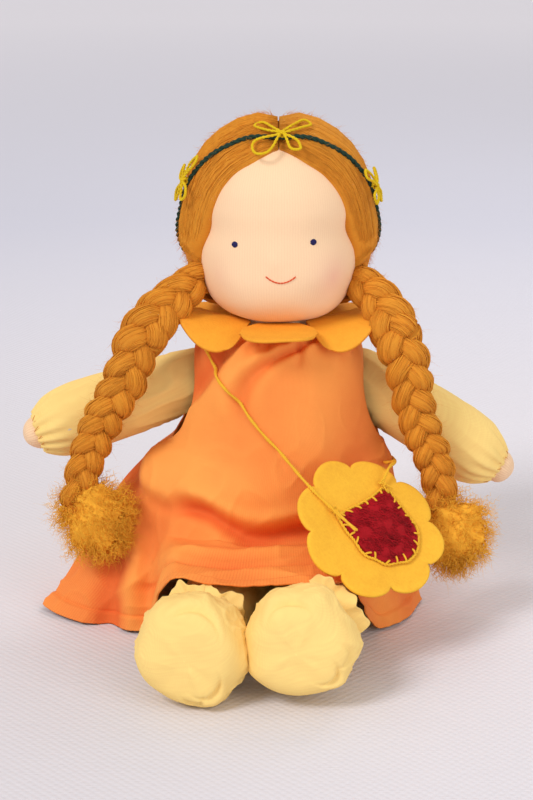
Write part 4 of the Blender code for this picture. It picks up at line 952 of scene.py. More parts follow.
def band_path(count, lift):
    """The headband's ring: a tilted circle pressed onto the combed hair.

    Its reach from the head's centre is that of the hair's points that lie the same way.
    """
    a = np.linspace(0, 2 * PI, count, endpoint=False)
    tilt = BAND_TILT + (NAPE_TILT - BAND_TILT) * np.maximum(0.0, np.sin(a))
    ring = np.stack([np.cos(a), np.sin(a) * np.cos(tilt), np.sin(a) * np.sin(tilt)], -1)
    ways = unit(BAND_CENTRE + ring * 0.0545 - HEAD_CENTRE)
    t, v = np.meshgrid(np.linspace(0.0, 1.0, 80), np.linspace(0.0, 1.0, 60), indexing="ij")
    hair = [combed(side, t, v, 0 * t).reshape(-1, 3) for side in SIDES.values()]
    hair = np.concatenate(hair) - HEAD_CENTRE
    reach = np.linalg.norm(hair, axis=-1)
    share = np.exp(((ways @ (hair / reach[:, None]).T) - 1) / 0.0006)
    far = share @ reach / share.sum(1)
    turn = np.fft.fft(far)
    turn[14:-13] = 0
    return HEAD_CENTRE + ways * (np.fft.ifft(turn).real + lift)[:, None]


# Angle, length and half width of each loop of the five yarn flowers
FLOWERS = [
    [(38, 0.0190, 0.0030), (143, 0.0180, 0.0028), (218, 0.0190, 0.0052), (308, 0.0150, 0.0030)],
    [(15, 0.0120, 0.0030), (100, 0.0130, 0.0024), (200, 0.0150, 0.0026), (290, 0.0110, 0.0034)],
    [(40, 0.0140, 0.0030), (130, 0.0140, 0.0030), (230, 0.0140, 0.0030), (320, 0.0130, 0.0034)],
    [(50, 0.0140, 0.0030), (140, 0.0130, 0.0036), (225, 0.0150, 0.0028), (310, 0.0140, 0.0030)],
    [(10, 0.0160, 0.0024), (95, 0.0120, 0.0034), (175, 0.0150, 0.0026), (255, 0.0120, 0.0040)],
]


def yarn_flower(at, out, along, loops, seed):
    """Loops of yarn from one knot: each goes out and back beside itself, down onto the hair."""
    rng = np.random.default_rng(seed)
    side = unit(np.cross(out, along))
    s = np.linspace(0, 1, 44)
    parts = []
    for angle, long, half in loops:
        turn = np.radians(angle)
        way = np.cos(turn) * along + np.sin(turn) * side
        aside = np.cross(out, way)
        go = np.sin(PI * s) ** 0.8 * long
        wide = np.sin(2 * PI * s) * half + 0.0005 * np.sin(5 * PI * s + rng.uniform(0, 6))
        lift = 0.0011 + 0.0010 * np.sin(PI * s) - go**2 * 9.1 - 0.0010 * go / long
        path = at + go[:, None] * way + wide[:, None] * aside + lift[:, None] * out
        parts.append(part(yarn("flower", path), tone=rng.uniform(0.3, 0.8)))
    s = np.linspace(0, 1, 60)
    wind = 0.0016 * np.stack([np.cos(4 * PI * s), np.sin(4 * PI * s)], -1)
    knot = at + wind[:, :1] * along + wind[:, 1:] * out + (s[:, None] - 0.5) * 0.002 * side
    parts.append(part(yarn("flower knot", knot), tone=0.4))
    return parts


# Plaits


def braid(path, before, thick, fibres, loose, seed):
    """Three strands that cross, a third of a turn apart: A sin(a) aside and B sin(2a) deep.

    Each is a bundle of fibres round a core, and its thickness swells and shrinks a little.
    The turn is counted along the path from the plait's root, which lies at minus before.
    """
    rng = np.random.default_rng(seed)
    count = len(path)
    _, across, over = (f[0] for f in frames(path[None], up=(0.0, -1.0, 0.0)))
    run = before + np.linspace(0, length_of(path), count)
    centres = []
    for k in range(3):
        a = 2 * PI * (run / PLAIT_PITCH + k / 3) + 0.25 * np.sin(2 * PI * run / 0.071 + k)
        aside = BRAID_ASIDE * thick * np.sin(a)
        depth = BRAID_DEEP * thick * np.sin(2 * a)
        centres.append(path + aside[:, None] * over + depth[:, None] * across)
    centres = np.array(centres)
    _, side, back = frames(centres, up=across)
    spot = np.arange(fibres) * 2.39996
    shell = 0.90 + 0.12 * rng.uniform(0, 1, (fibres, 1))
    out = []
    bundle = np.zeros((3, count))
    for k in range(3):
        uneven = 1 + 0.09 * np.sin(2 * PI * run / 0.023 + 2.1 * k)
        uneven = uneven + 0.05 * np.sin(2 * PI * run / 0.0131 + k)
        bundle[k] = STRAND_RADIUS * thick * uneven
        beat = rng.uniform(0.007, 0.016, (fibres, 1))
        sway = np.sin(2 * PI * (run / beat + rng.uniform(0, 1, (fibres, 1))))
        twist = spot[:, None] + 0.5 * np.sin(2 * PI * run / 0.06 + k) + 0.05 * sway
        r = shell * bundle[k] + 0.0003 * sway
        x, y = r * np.cos(twist), 0.90 * r * np.sin(twist)
        out.append(centres[k] + x[..., None] * back[k] + y[..., None] * side[k])
    paths = np.concatenate(out)
    radius = rng.uniform(0.00025, 0.00055, (len(paths), 1)) * thick
    parts = [part(tubes(centres, bundle * 0.92, 14, up=across), tone=0.4)]
    parts.append(part(tubes(paths, radius, 3), tone=rng.uniform(0, 1, len(paths))))
    foot = paths[:, 2:-2:3].reshape(-1, 3)
    middle = np.repeat(centres[:, None, 2:-2:3], fibres, 1).reshape(-1, 3)
    pick = rng.choice(len(foot), loose, replace=False)
    way = np.gradient(paths, axis=1)[:, 2:-2:3].reshape(-1, 3)[pick]
    lean = unit(foot - middle)[pick] * 0.8 + 0.8 * unit(way)
    ways = unit(lean + rng.normal(0, 0.4, (loose, 3)))
    stray = hairs(foot[pick], ways, 0.0055, 0.00007, seed + 3, 0.7)
    parts.append(part(stray, tone=rng.uniform(0.5, 1, loose)))
    return parts


def plait_end(name):
    """The last point of a plait and the way that it goes there."""
    path = flowing(PLAITS[name], 60)
    return path[-1], unit(path[-1] - path[-3])


def tuft_strands(name, count, loose, seed):
    """Loose wool below the tie: a soft lumpy ball, with crimped fibres that start in its skin.

    A fibre leaves the ball away from the tie and outwards, and waves from side to side.
    """
    rng = np.random.default_rng(seed)
    foot, down = plait_end(name)
    start = foot + down * 0.0040
    lean, ahead = (np.radians(v) for v in TUFTS[name])
    fore = np.cos(ahead)
    main = np.array([fore * np.sin(lean), -np.sin(ahead), -fore * np.cos(lean)])
    wide = unit(np.cross(main, [0.0, 1.0, 0.0]))
    deep = np.cross(wide, main)
    ball, _ = round_form(TUFT_LINE, 46, 64)
    core = start + ball[..., :1] * TUFT_WIDE * wide + ball[..., 1:2] * TUFT_DEEP * deep
    core = core + (0.0105 - TUFT_TALL * ball[..., 2:]) * main
    out = facing_out(core)
    lumps = 0.0017 * ripple(core, 0.015, seed) + 0.0005 * ripple(core, 0.005, seed + 1)
    core = core + out * (lumps * step(1.0, 0.7, ball[..., 2]))[..., None]
    pick = rng.integers(3 * 64, 44 * 64, count)
    feet, face = core.reshape(-1, 3)[pick], out.reshape(-1, 3)[pick]
    way = 0.8 * unit(feet - start) + 0.30 * face + 0.25 * main
    way = unit(way + rng.normal(0, 0.55, (count, 3)))
    long = rng.uniform(0.005, 0.0130, (count, 1))
    t = np.linspace(0, 1, 14)
    paths = (feet - 0.0010 * face)[:, None] + (t * long)[..., None] * way[:, None]
    beat, phase = rng.uniform(0.0028, 0.0065, (count, 1)), rng.uniform(0, 1, (2, count, 1))
    grow = 0.0010 * step(0.0, 0.5, t)
    crimp = grow * np.sin(2 * PI * (t * long / beat + phase[0]))
    curl = grow * np.cos(2 * PI * (t * long / (beat * 1.3) + phase[1]))
    aside = unit(np.cross(way, deep))
    paths = paths + crimp[..., None] * aside[:, None]
    paths = paths + curl[..., None] * np.cross(way, aside)[:, None]
    radius = rng.uniform(0.00016, 0.00032, (count, 1)) * (1 - 0.7 * t)
    # The ball's tone is set a little high: painted light, as in the tufts' finish
    parts = [part(core - 0.0009 * out, tone=0.6)]
    parts.append(part(tubes(paths, radius, 3), tone=rng.uniform(0.2, 1, count)))
    ends = paths[:, -8:].reshape(-1, 3)
    pick = rng.choice(len(ends), loose, replace=False)
    ways = unit(rng.normal(0, 0.6, (loose, 3)) + unit(ends[pick] - start))
    wisps = hairs(ends[pick], ways, 0.0060, 0.00006, seed + 5, 0.9)
    return parts, part(wisps, tone=rng.uniform(0.5, 1, loose))


# Body, arms and legs


def torso_form():
    """The torso bag: a flattened turned profile, scooped at the hips for the legs."""
    grid, _ = round_form(TORSO_LINE, *GRIDS["torso"])
    grid[..., 1] *= 0.70
    _, hip_y, hip_z = HIPS["left"]
    y, z = grid[..., 1] - hip_y, grid[..., 2] - hip_z
    near = np.hypot(np.maximum(y, 0), z)
    front = (grid[..., 1] < -0.008) & (grid[..., 2] < 0.048)
    push = np.where(front & (y < HIP_SCOOP), np.maximum(HIP_SCOOP - near, 0), 0)
    grid[..., 1] += push + np.where(front & (y < 0), -y * 0.98, 0)
    return grid


def sleeve_form(seed):
    """The arm: full in the middle, pleated at the wrist, with soft creases along it."""
    grid, turn = round_form(SLEEVE_LINE, *GRIDS["sleeve"])
    z = grid[..., 2]
    wrist = step(-0.066, -0.092, z) * (1 - step(-0.090, -0.0950, z) * 0.3)
    pleats = 0.0009 * wrist * np.sin(turn * 15 + 1.5 * np.sin(2 * turn + seed))
    stretch = grid * np.array([1.0, 1.0, 0.35])
    fold = 0.0019 * (creases(stretch, 0.019, seed) - 0.35) * bell(z, -0.016, 0.030)
    fold = fold + 0.0006 * (creases(stretch, 0.013, seed + 1) - 0.35) * bell(z, -0.072, 0.014)
    slow = 0.0007 * ripple(grid, 0.045, seed + 2)
    return grid + facing_out(grid) * (pleats + fold + slow * step(0.016, -0.01, z))[..., None]


def arm_turn(name):
    """The matrix that turns an arm from hanging down to its own lie."""
    lift = SIDES[name] * np.radians(ARM_DROPS[name] - 90.0)
    return np.array(Matrix.Rotation(lift, 3, "Y"))


def leg_turn(name):
    """The matrix that turns a leg from hanging down to lying ahead."""
    tip, splay = (np.radians(v) for v in LEG_TURNS[name])
    return np.array(Matrix.Rotation(splay, 3, "Z") @ Matrix.Rotation(tip, 3, "X"))


def boot_form(seed, lumps, tucks):
    """The bootie: a drawn neck, a full pouch and a nearly flat sole with tucked corners.

    Lumps (angle, width, height) push its side out; tucks (angle, width, reach, depth) draw
    a short curved line into its sole.
    """
    grid, turn = round_form(BOOT_LINE, *GRIDS["boot"])
    z = grid[..., 2]
    reach = np.hypot(grid[..., 0], grid[..., 1])
    near_pole = step(0.002, 0.010, reach)
    swell = 0 * z
    for angle, width, height in lumps:
        swell = swell + height * bell(wrapped(turn - angle), 0, width) * bell(z, -0.115, 0.015)
    for angle, width, far, depth in tucks:
        a = wrapped(turn - angle)
        arc = reach - far + 0.002 * (a / width) ** 2
        line = bell(arc, 0, 0.0011) - 0.6 * bell(arc, 0.0024, 0.0018)
        swell = swell - depth * line * bell(a, 0, width) * step(-0.106, -0.113, z)
    pleats = 0.0016 * (1 - step(-0.087, -0.104, z)) * np.sin(turn * 15 + np.sin(3 * turn + seed))
    stretch = grid * np.array([1.0, 1.0, 0.6])
    fold = 0.0016 * (creases(stretch, 0.021, seed) - 0.4) * (1 - 0.85 * step(-0.112, -0.125, z))
    fold = fold + 0.0007 * (creases(grid, 0.0085, seed + 4) - 0.4) * step(-0.128, -0.110, z)
    slow = 0.0008 * ripple(grid, 0.03, seed + 2)
    return grid + facing_out(grid) * ((swell + pleats + fold + slow) * near_pole)[..., None]


def frill_form(seed, ruffles):
    """The bootie's ruffle: from its draw line it reaches out in waves, further at each frill."""
    s, a = np.meshgrid(np.linspace(0, 1, 16), np.linspace(0, 2 * PI, 241), indexing="ij")
    fine = np.sin(23 * a + seed)
    wave = np.sin(9 * a + 0.9 * np.sin(2 * a + seed)) + 0.35 * fine
    reach = 0.0040 + 0 * a
    for angle, width, height in ruffles:
        reach = reach + height * bell(wrapped(a - angle), 0, width)
    r = 0.0166 + (reach + 0.0008) * s + 0.15 * reach * s * wave
    z = -0.0862 + 0.0065 * s - 0.25 * (reach - 0.004) * s**2
    return around(r, a, z + 0.0024 * s * np.sin(9 * a + 1.2) + 0.0008 * s * fine)


# Dress

# Where the dress's folds run: (height, x) down the chest, (x, height) across the lap
RIDGE = [
    (0.170, -0.0170), (0.158, -0.0258), (0.1447, -0.0345), (0.130, -0.0440), (0.1176, -0.0560),
    (0.105, -0.0670), (0.090, -0.0735), (0.074, -0.0770), (0.060, -0.0780),
]
SWEEP = [
    (0.168, 0.0260), (0.1655, 0.0190), (0.1568, -0.0040), (0.1464, -0.0160), (0.1361, -0.0205),
    (0.120, -0.0215),
]
SAG = [
    (-0.095, 0.0800), (-0.080, 0.0750), (-0.066, 0.0710), (-0.045, 0.0722), (-0.030, 0.0750),
]
CREASE = [
    (-0.060, 0.0740), (-0.041, 0.0715), (-0.031, 0.0665), (-0.018, 0.0608), (-0.005, 0.0606),
    (0.009, 0.0635), (0.030, 0.0655), (0.055, 0.0670),
]


def along_fold(at, line):
    """The second value of a smooth line through places, read at the first."""
    fine = flowing(line, 80)
    order = np.argsort(fine[:, 0])
    return np.interp(at, fine[order, 0], fine[order, 1])


def armhole_half(z):
    """Half the armhole's width at a height: an ellipse, nought above and below it."""
    up = (z - (ARMHOLE_TOP + ARMHOLE_BOTTOM) / 2) / ((ARMHOLE_TOP - ARMHOLE_BOTTOM) / 2)
    return ARMHOLE_HALF * np.sqrt(np.maximum(0.0, 1 - up * up))


def dress_form(sign, rows, columns):
    """A panel as rows of half ellipses that widen to the hem; the front lies over the legs."""
    tall, left, right, front, back, reach = flowing(DRESS_ROWS, rows).T[:, :, None]
    deep = (front if sign < 0 else back) * DRESS_DEEP
    start = np.arcsin(np.maximum(armhole_half(tall * DRESS_TOP), 0.0003) / deep)
    turn = start + (PI - 2 * start) * np.linspace(0, 1, columns)
    wide = np.where(np.cos(turn) > 0, left * DRESS_LEFT, right * DRESS_RIGHT)
    x, y = -wide * np.cos(turn), sign * deep * np.sin(turn)
    z = tall * DRESS_TOP + 0 * turn
    flare = np.maximum(0.0, (1 - tall) - 0.55) / 0.45
    ripples = 0.0024 * flare * np.sin(turn) * np.cos(9 * turn)
    over = 0 * x
    if sign < 0:
        x = x * (1 + 0.15 * flare * np.abs(np.sin(2 * turn)))
        over = step(-LAP_LEFT, -LAP_LEFT + LAP_EDGE, x)
        over = over * step(-LAP_RIGHT, -LAP_RIGHT + LAP_EDGE, -x)
        drop = LAP_TOP + (LAP_HEM - LAP_TOP) * reach
        y = y - reach * SKIRT_REACH * over
        z = z + over * np.maximum(0.0, drop - z)
        ripples = ripples * (1 - 0.5 * over)
    grid = np.stack([x + ripples * np.cos(turn), y + sign * ripples, z], -1)
    return grid, turn, tall, over, flare


def dress_front_form():
    """The front panel with its neck gathers, slanting fold, paunch, lap creases and hem.

    Each fold is a bell or a step across a line of the tables, times a bell along it; its tone is
    painted shade of the folds.
    """
    grid, turn, tall, over, _ = dress_form(-1.0, 190, 260)
    x, z = grid[..., 0], grid[..., 2]
    low = 1 - tall + 0 * x
    out = sheet_normals(grid, (0.0, -1.0, 0.35))
    gathers = 0.0012 * (1 - step(0.0, 0.13, low)) * np.sin(turn * 24 + 2 * np.sin(5 * turn))
    off = x - along_fold(z, RIDGE)
    shadow = 0.0026 * step(-0.002, -0.010, off)
    ridge = 0.0058 * step(-0.0045, 0.0030, off) * np.exp(-np.maximum(off, 0.0) / 0.030)
    ridge = ridge - 0.0024 * bell(off, -0.0070, 0.0050)
    ridge = ridge * step(0.060, 0.085, z) * step(0.168, 0.158, z)
    off = x - along_fold(z, SWEEP)
    sweep = 0.0026 * bell(off, -0.0085, 0.0060) - 0.0036 * bell(off, 0, 0.0048)
    sweep = (sweep + 0.0014 * bell(off, 0.009, 0.006)) * step(0.116, 0.140, z)
    pleat = -0.0030 * bell(x, 0.013 - 0.12 * (0.168 - z), 0.0022) * step(0.150, 0.163, z)
    paunch = 0.0062 * bell(z, 0.082, 0.014) * bell(x, -0.022, 0.040)
    paunch = paunch + 0.0020 * bell(z, 0.108, 0.016) * bell(x, -0.002, 0.030)
    off = tall * DRESS_TOP - along_fold(x, SAG)
    sag = 0.0018 * bell(off, 0.006, 0.0050) - 0.0034 * bell(off, 0, 0.0045)
    sag = sag * bell(x, -0.062, 0.020)
    off = tall * DRESS_TOP - along_fold(x, CREASE)
    crease = 0.0034 * bell(off, 0.0080, 0.0060) - 0.0088 * bell(off, 0, 0.0052)
    crease = crease * step(-0.062, -0.044, x) * step(0.060, 0.036, x)
    lap = 0.0030 * bell(tall, 0.265 + 0.55 * x, 0.030) * bell(x, -0.020, 0.040)
    lap = (lap - 0.0022 * bell(tall, 0.170 + 0.25 * x, 0.018)) * step(-0.086, -0.070, x)
    wall = x + 0.080 + 0.010 * low
    side = 0.0048 * bell(wall, 0.005, 0.0070) - 0.0064 * bell(wall, -0.0095, 0.0080)
    side = side * step(0.60, 0.74, low) * step(-0.125, -0.105, x)
    soft = 0.0019 * ripple(grid * np.array([1.0, 1.0, 0.55]), 0.050, 21)
    folds = creases(grid * np.array([1.0, 0.6, 0.5]), 0.048, 33) - 0.4
    folds = 0.0036 * folds * step(0.45, 0.85, low)
    small = creases(grid * np.array([1.0, 0.8, 0.9]), 0.021, 35) - 0.4
    small = 0.0011 * small * step(0.10, 0.5, low)
    hem = 0.0013 * step(0.946, 0.952, low) - 0.0008 * bell(low, 0.944, 0.004)
    drawn = ridge + sweep + pleat + sag + crease + lap + side
    amount = drawn + gathers + paunch + hem + (soft + folds + small) * (1 - 0.35 * over)
    share = np.linspace(0, 1, grid.shape[1])
    amount = amount * step(0.0, 0.055, np.minimum(share, 1 - share))
    grid = grid + out * amount[..., None]
    grid[..., 2] = np.maximum(grid[..., 2], 0.0016)
    # Painted shade: the folds' ridges lighter, their valleys and the flank left of the slanting
    # ridge darker
    tone = 0.56 + 80 * (drawn + 0.7 * (folds + small) + soft - shadow)
    return grid, np.clip(tone, 0.0, 1.0)


def dress_back_form():
    """The back panel, gathered at the neck and hanging in soft folds."""
    grid, turn, tall, _, flare = dress_form(1.0, 120, 140)
    out = sheet_normals(grid, (0.0, 1.0, 0.2))
    gathers = 0.0009 * (1 - step(0.0, 0.14, 1 - tall)) * np.sin(turn * 22 + 1.0)
    hang = 0.0030 * flare * np.sin(turn * 9 + 0.6) * np.sin(turn)
    soft = 0.0013 * ripple(grid * np.array([1.0, 1.0, 0.5]), 0.05, 44)
    grid = grid + out * (gathers + hang + soft)[..., None]
    grid[..., 2] = np.maximum(grid[..., 2], 0.0016)
    return grid


def sheet_normals(grid, toward):
    """Unit normals of an open grid, on the side that a direction points to."""
    normal = unit(np.cross(np.gradient(grid, axis=0), np.gradient(grid, axis=1)))
    return normal * np.sign((normal @ np.array(toward)).sum())


def petal_form(k):
    """A felt petal: width by a sine from the neck, a tip bowed as an ellipse, a wavy rim."""
    run = np.linspace(0, 1, 32)[:, None]
    side = np.sin(PI / 2 * np.linspace(-1, 1, 41))[None, :]
    neck = 0.30 if k in (1, 5) else 0.5
    wide = PETAL_HALF * (neck + (1 - neck) * np.sin(PI / 2 * np.minimum(run / 0.62, 1)))
    bow = np.sqrt(1 - np.abs(side) ** (3.4 if k == 0 else 2.2))
    reach = PETAL_INNER + (PETAL_OUTER - PETAL_INNER) * run * (1 - 0.40 * (1 - bow) * run)
    fall = (COLLAR_DROOP * run**2 + COLLAR_EDGE_DROOP * side**2 * run) * (0.10 if k == 0 else 1.0)
    wave = (0.0004 if k == 0 else 0.0010) * run * np.sin(3.0 * side + 1.7 * k)
    away = 2 * PI * k / PETALS
    out = np.array([np.sin(away), -np.cos(away), 0.0])
    across = np.array([np.cos(away), np.sin(away), 0.0])
    z = COLLAR_TOP - fall + wave + (0.0020 * np.sqrt(run) if k == 0 else 0.0)
    flat = reach[..., None] * out + (wide * side)[..., None] * across
    if k in (1, 5):
        ahead = flat[..., 1] - PETAL_OUTER * out[1] * run
        z = z + np.clip(0.55 * ahead, -0.0120, 0.0080) * run + 0.0085 * run
    elif k in (2, 4):
        z = z + 0.0050 * run
    return flat + z[..., None] * np.array([0.0, 0.0, 1.0])


# Bag


def bag_axes():
    """Across the pocket, up its face and out of its face."""
    out = unit(BAG_OUT)
    across = unit(BAG_ACROSS - out * (BAG_ACROSS @ out))
    return across, np.cross(out, across), out


def on_bag(x, y, z):
    """A place on the bag: x across, y up and z out of its face."""
    across, up, out = bag_axes()
    x, y, z = (np.asarray(a, float)[..., None] for a in np.broadcast_arrays(x, y, z))
    return BAG_CENTRE + x * across + y * up + z * out


def bag_sag(x, y):
    """The felt's lie: it bends back at its lobes and waves a little."""
    r, a = np.hypot(x, y) / BAG_RADIUS, np.arctan2(y, x)
    return -0.0022 * r**3 * np.sin(2 * a + 0.6) + 0.0006 * np.sin(5 * a) * r**2


def on_felt(flat, lift):
    """Places at a height over the face of the bag's felt."""
    x, y = flat[..., 0], flat[..., 1]
    return on_bag(x, y, BAG_THICKNESS / 2 + bag_sag(x, y) + lift)


def flower_outline(a):
    """The flower's edge: a circle with eight round lobes."""
    return BAG_RADIUS * (0.85 + 0.15 * np.abs(np.cos(4 * a)) ** 0.6)


def pocket_edge(count, grow=0.0):
    """The pocket's closed edge: a round foot and a nearly straight top."""
    wide = POCKET_HALF + grow
    foot = POCKET_TOP - POCKET_HEIGHT + POCKET_HALF
    a = np.linspace(0, PI, 40)
    arc = np.stack([wide * np.cos(a), foot - wide * np.sin(a)], -1)
    ends = [(wide, POCKET_TOP - 0.003), (wide - 0.003, POCKET_TOP + grow)]
    loop = np.vstack([ends[::-1], arc, [(-x, y) for x, y in ends]])
    loop = np.vstack([loop, [(0.0, POCKET_TOP + grow - 0.0012)], loop[:1]])
    return flowing(loop, count) + np.array([POCKET_SHIFT, 0.0])


def share_of(flat, middle, edge):
    """How far points lie from the pocket's middle, as a share of its edge that way."""
    turn = np.arctan2(*(edge - middle).T[::-1])
    order = np.argsort(turn)
    at = np.arctan2(flat[..., 1] - middle[1], flat[..., 0] - middle[0])
    far = np.linalg.norm(edge - middle, axis=1)[order]
    far = np.interp(at, turn[order], far, period=2 * PI)
    return np.linalg.norm(flat - middle, axis=-1) / far


# Operators


class DollColours(bpy.types.PropertyGroup):
    """Colours of the doll's cloths and yarns."""

    def shade(label, code):
        return bpy.props.FloatVectorProperty(
            name=label,
            description=f"Colour of the {label.lower()}",
            subtype="COLOR",
            size=3,
            min=0.0,
            max=1.0,
            default=lin(code),
        )

    skin: shade("Skin jersey", "FFDDB4")
    hair: shade("Hair wool", "F5A633")
    dress: shade("Dress velour", "FFA550")
    cotton: shade("Limb cotton", "FFE28C")
    collar: shade("Collar felt", "FFB536")
    bag: shade("Bag felt", "FFCA3C")
    pocket: shade("Pocket felt", "B80C1E")
    band: shade("Headband yarn", "2A4A3C")
    flower: shade("Flower yarn", "F3D81C")
    strap: shade("Strap yarn", "FFD23A")
    eye: shade("Eye thread", "2C2B66")
    mouth: shade("Mouth thread", "EE6A40")


class DollSizes(bpy.types.PropertyGroup):
    """Counts of the wool's strands and sizes of the yarn."""

    def number(label, text, default, low, high):
        return bpy.props.IntProperty(
            name=label, description=text, default=default, min=low, max=high
        )

    def length(label, text, default, low, high):
        return bpy.props.FloatProperty(
            name=label,
            description=text,
            default=default,
            min=low,
            max=high,
            subtype="DISTANCE",
            unit="LENGTH",
        )

    strands: number("Hair strands", "Combed strands on each side of the head", 1800, 100, 2350)
    fibres: number("Plait fibres", "Fibres in each strand of a plait", 80, 8, 96)
    tuft: number("Tuft strands", "Crimped strands below each tie", 1600, 50, 1950)
    band_yarn: length("Headband yarn", "Radius of the headband's yarn", 0.0014, 0.0005, 0.003)
    strap_yarn: length("Strap yarn", "Radius of the strap's yarn", 0.0011, 0.0004, 0.002)


class Step(bpy.types.Operator):
    """A step of the doll's making."""

    bl_options = {"REGISTER", "UNDO"}

    def execute(self, context):
        self.build(context.scene.doll_sizes, context.scene.doll_colours)
        return {"FINISHED"}


class DOLL_OT_materials(Step):
    """Make the cloth, felt, wool and yarn finishes"""

    bl_idname = "doll.materials"
    bl_label = "Finishes"

    def build(self, sizes, colours):
        for name, (fill, inputs) in GROUPS.items():
            group(name, inputs, fill)
        for look, (_, light, dark, pattern, size, more) in FINISHES.items():
            light, dark = (self.shade(want, colours) for want in (light, dark))
            fabric(look, light, dark, pattern, size, **more)
        slots = {s["node"]: s["material_slot"] for s in frame["record"]["subparts"]}
        for name, node in frame["nodes"].items():
            look = CARRIED_LOOKS.get(slots.get(name), "cotton")
            for slot in node.material_slots:
                slot.material = bpy.data.materials[LOOK + look]

    @staticmethod
    def shade(want, colours):
        """Linear values of a hex code, or of a colour setting times its shares."""
        if isinstance(want, str):
            return lin(want)
        name, share, warm = want
        red, *rest = getattr(colours, name)
        return (red * share, *(v * share * warm for v in rest))


class DOLL_OT_head(Step):
    """Make the jersey head, its sewn eyes and its sewn mouth"""

    bl_idname = "doll.head"
    bl_label = "Head"

    def build(self, sizes, colours):
        form = head_form()
        head = piece("head_jersey", [part(form)], "skin_jersey", "head", "head_skin")
        for name, (turn, height) in EYES.items():
            at, out = (a[0] for a in on_face(np.radians([turn]), height, form))
            across = unit(np.cross(out, [0, 0, 1.0]))
            k = np.linspace(-1, 1, EYE_STITCHES)[:, None]
            middle = at + k * EYE_WIDE * across
            half = EYE_TALL * np.sqrt(1 - EYE_ROUND * k**2) * np.cross(across, out)
            rows = stitches(np.stack([middle - half, middle + half], 1), out, EYE_THREAD)
            piece(f"{name}_eye_stitches", [rows], "eye_thread", "head", f"{name}_eye")
        s = np.linspace(-1, 1, 60)
        turn = np.radians(MOUTH_MIDDLE + MOUTH_HALF * s)
        at, out = on_face(turn, MOUTH_LOW + MOUTH_RISE * s**2, form)
        line = part(yarn("mouth", at + out * MOUTH_LIFT))
        piece("mouth_stitches", [line], "mouth_thread", "head", "mouth")
        core, _ = round_form([(r * CORE_SHARE, z) for r, z in HEAD_LINE], *GRIDS["core"])
        core[..., 2] = HEAD_CENTRE[2] + (core[..., 2] - HEAD_CENTRE[2]) * CORE_TALL
        core = roughened(core, "core", 8)
        core[..., 2] = np.maximum(core[..., 2], CORE_FOOT)
        wool = piece("head_wool", [part(core)], "fleece", "head", "head_core")


class DOLL_OT_hair(Step):
    """Make the combed hair, its locks and the headband"""

    bl_idname = "doll.hair"
    bl_label = "Hair"

    def build(self, sizes, colours):
        for name, side in SIDES.items():
            sheet, seed = hair_sheet(side), int(side)
            piece(f"{name}_hair_layer", [sheet], "hair_wool", "head", wall=HAIR_WALL)
            strands = hair_strands(side, sizes.strands, 11 + seed)
            piece(f"{name}_hair_strands", [strands], "hair_wool", "head", "hair_cap")
            loose = hair_fuzz(side, LOOSE_HAIRS, 31 + seed)
            piece(f"{name}_loose_hair", [loose], "hair_wool", "head")
            self.lock(name, 70 + seed, sizes)
        path = band_path(260, sizes.band_yarn)
        out = unit(path - HEAD_CENTRE)[None]
        twist = plied(path, sizes.band_yarn, BAND_PITCH, loop=True, up=out)
        piece("headband_yarn", [part(twist, loop=True)], "band_yarn", "head", "headband")
        count = 720
        ring = band_path(count, FLOWER_LIFT + 2 * sizes.band_yarn)
        for k, loops in enumerate(FLOWERS):
            turn = FLOWER_FIRST / (2 * PI) + k / len(FLOWERS)
            n = round(turn * count) % count
            along = unit(ring[(n + 4) % count] - ring[n - 4])
            parts = yarn_flower(ring[n], unit(ring[n] - HEAD_CENTRE), along, loops, 60 + k)
            name = f"headband_flower_loops_{k + 1}"
            piece(name, parts, "flower_yarn", "head", f"headband_flower_{k + 1}")

    def lock(self, name, seed, sizes):
        """The braid's first stretch, from the gather to the plait, made without a body."""
        path = flowing(LOCKS[name], 44)
        thick = LOCK_THICK + LOCK_GROWS * step(0.0, 1.0, np.linspace(0, 1, len(path)))
        parts = braid(path, -length_of(path), thick, sizes.fibres, LOCK_LOOSE, seed)
        lock = piece(f"{name}_lock_wool", parts, "hair_wool", None, f"{name}_hair_lock")
        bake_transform(lock)


class DOLL_OT_plaits(Step):
    """Make the two plaits, their ties and their loose tufts"""

    bl_idname = "doll.plaits"
    bl_label = "Plaits"

    def build(self, sizes, colours):
        for name, seed in (("left", 100), ("right", 140)):
            body = f"{name}_plait"
            path = flowing(PLAITS[name], 84)
            thick = PLAIT_THICK - PLAIT_THINS * np.linspace(0, 1, len(path)) ** 0.8
            parts = braid(path, 0.0, thick, sizes.fibres, PLAIT_LOOSE, seed)
            piece(f"{name}_plait_wool", parts, "hair_wool", body, f"{name}_plait")
            strands, wisps = tuft_strands(name, sizes.tuft, TUFT_LOOSE, seed + 7)
            # The tufts take the lightened wool, which paints light among their fibres
            piece(f"{name}_tuft_wool", strands, "tuft_wool", body, f"{name}_tuft")
            piece(f"{name}_tuft_wisps", [wisps], "tuft_wool", body)
            foot, down = plait_end(name)
            side = unit(np.cross(down, [0, -1.0, 0]))
            s = np.linspace(0, 1, 120)[:, None]
            turn = 2 * PI * TIE_TURNS * s
            wind = foot + (TIE_DROP + (s - 0.5) * TIE_TALL) * down
            wind = wind + TIE_RADIUS * (np.cos(turn) * side + np.sin(turn) * np.cross(side, down))
            tie = part(yarn("tie", wind))
            piece(f"{name}_tie_wool", [tie], "hair_wool", body, f"{name}_plait_tie")


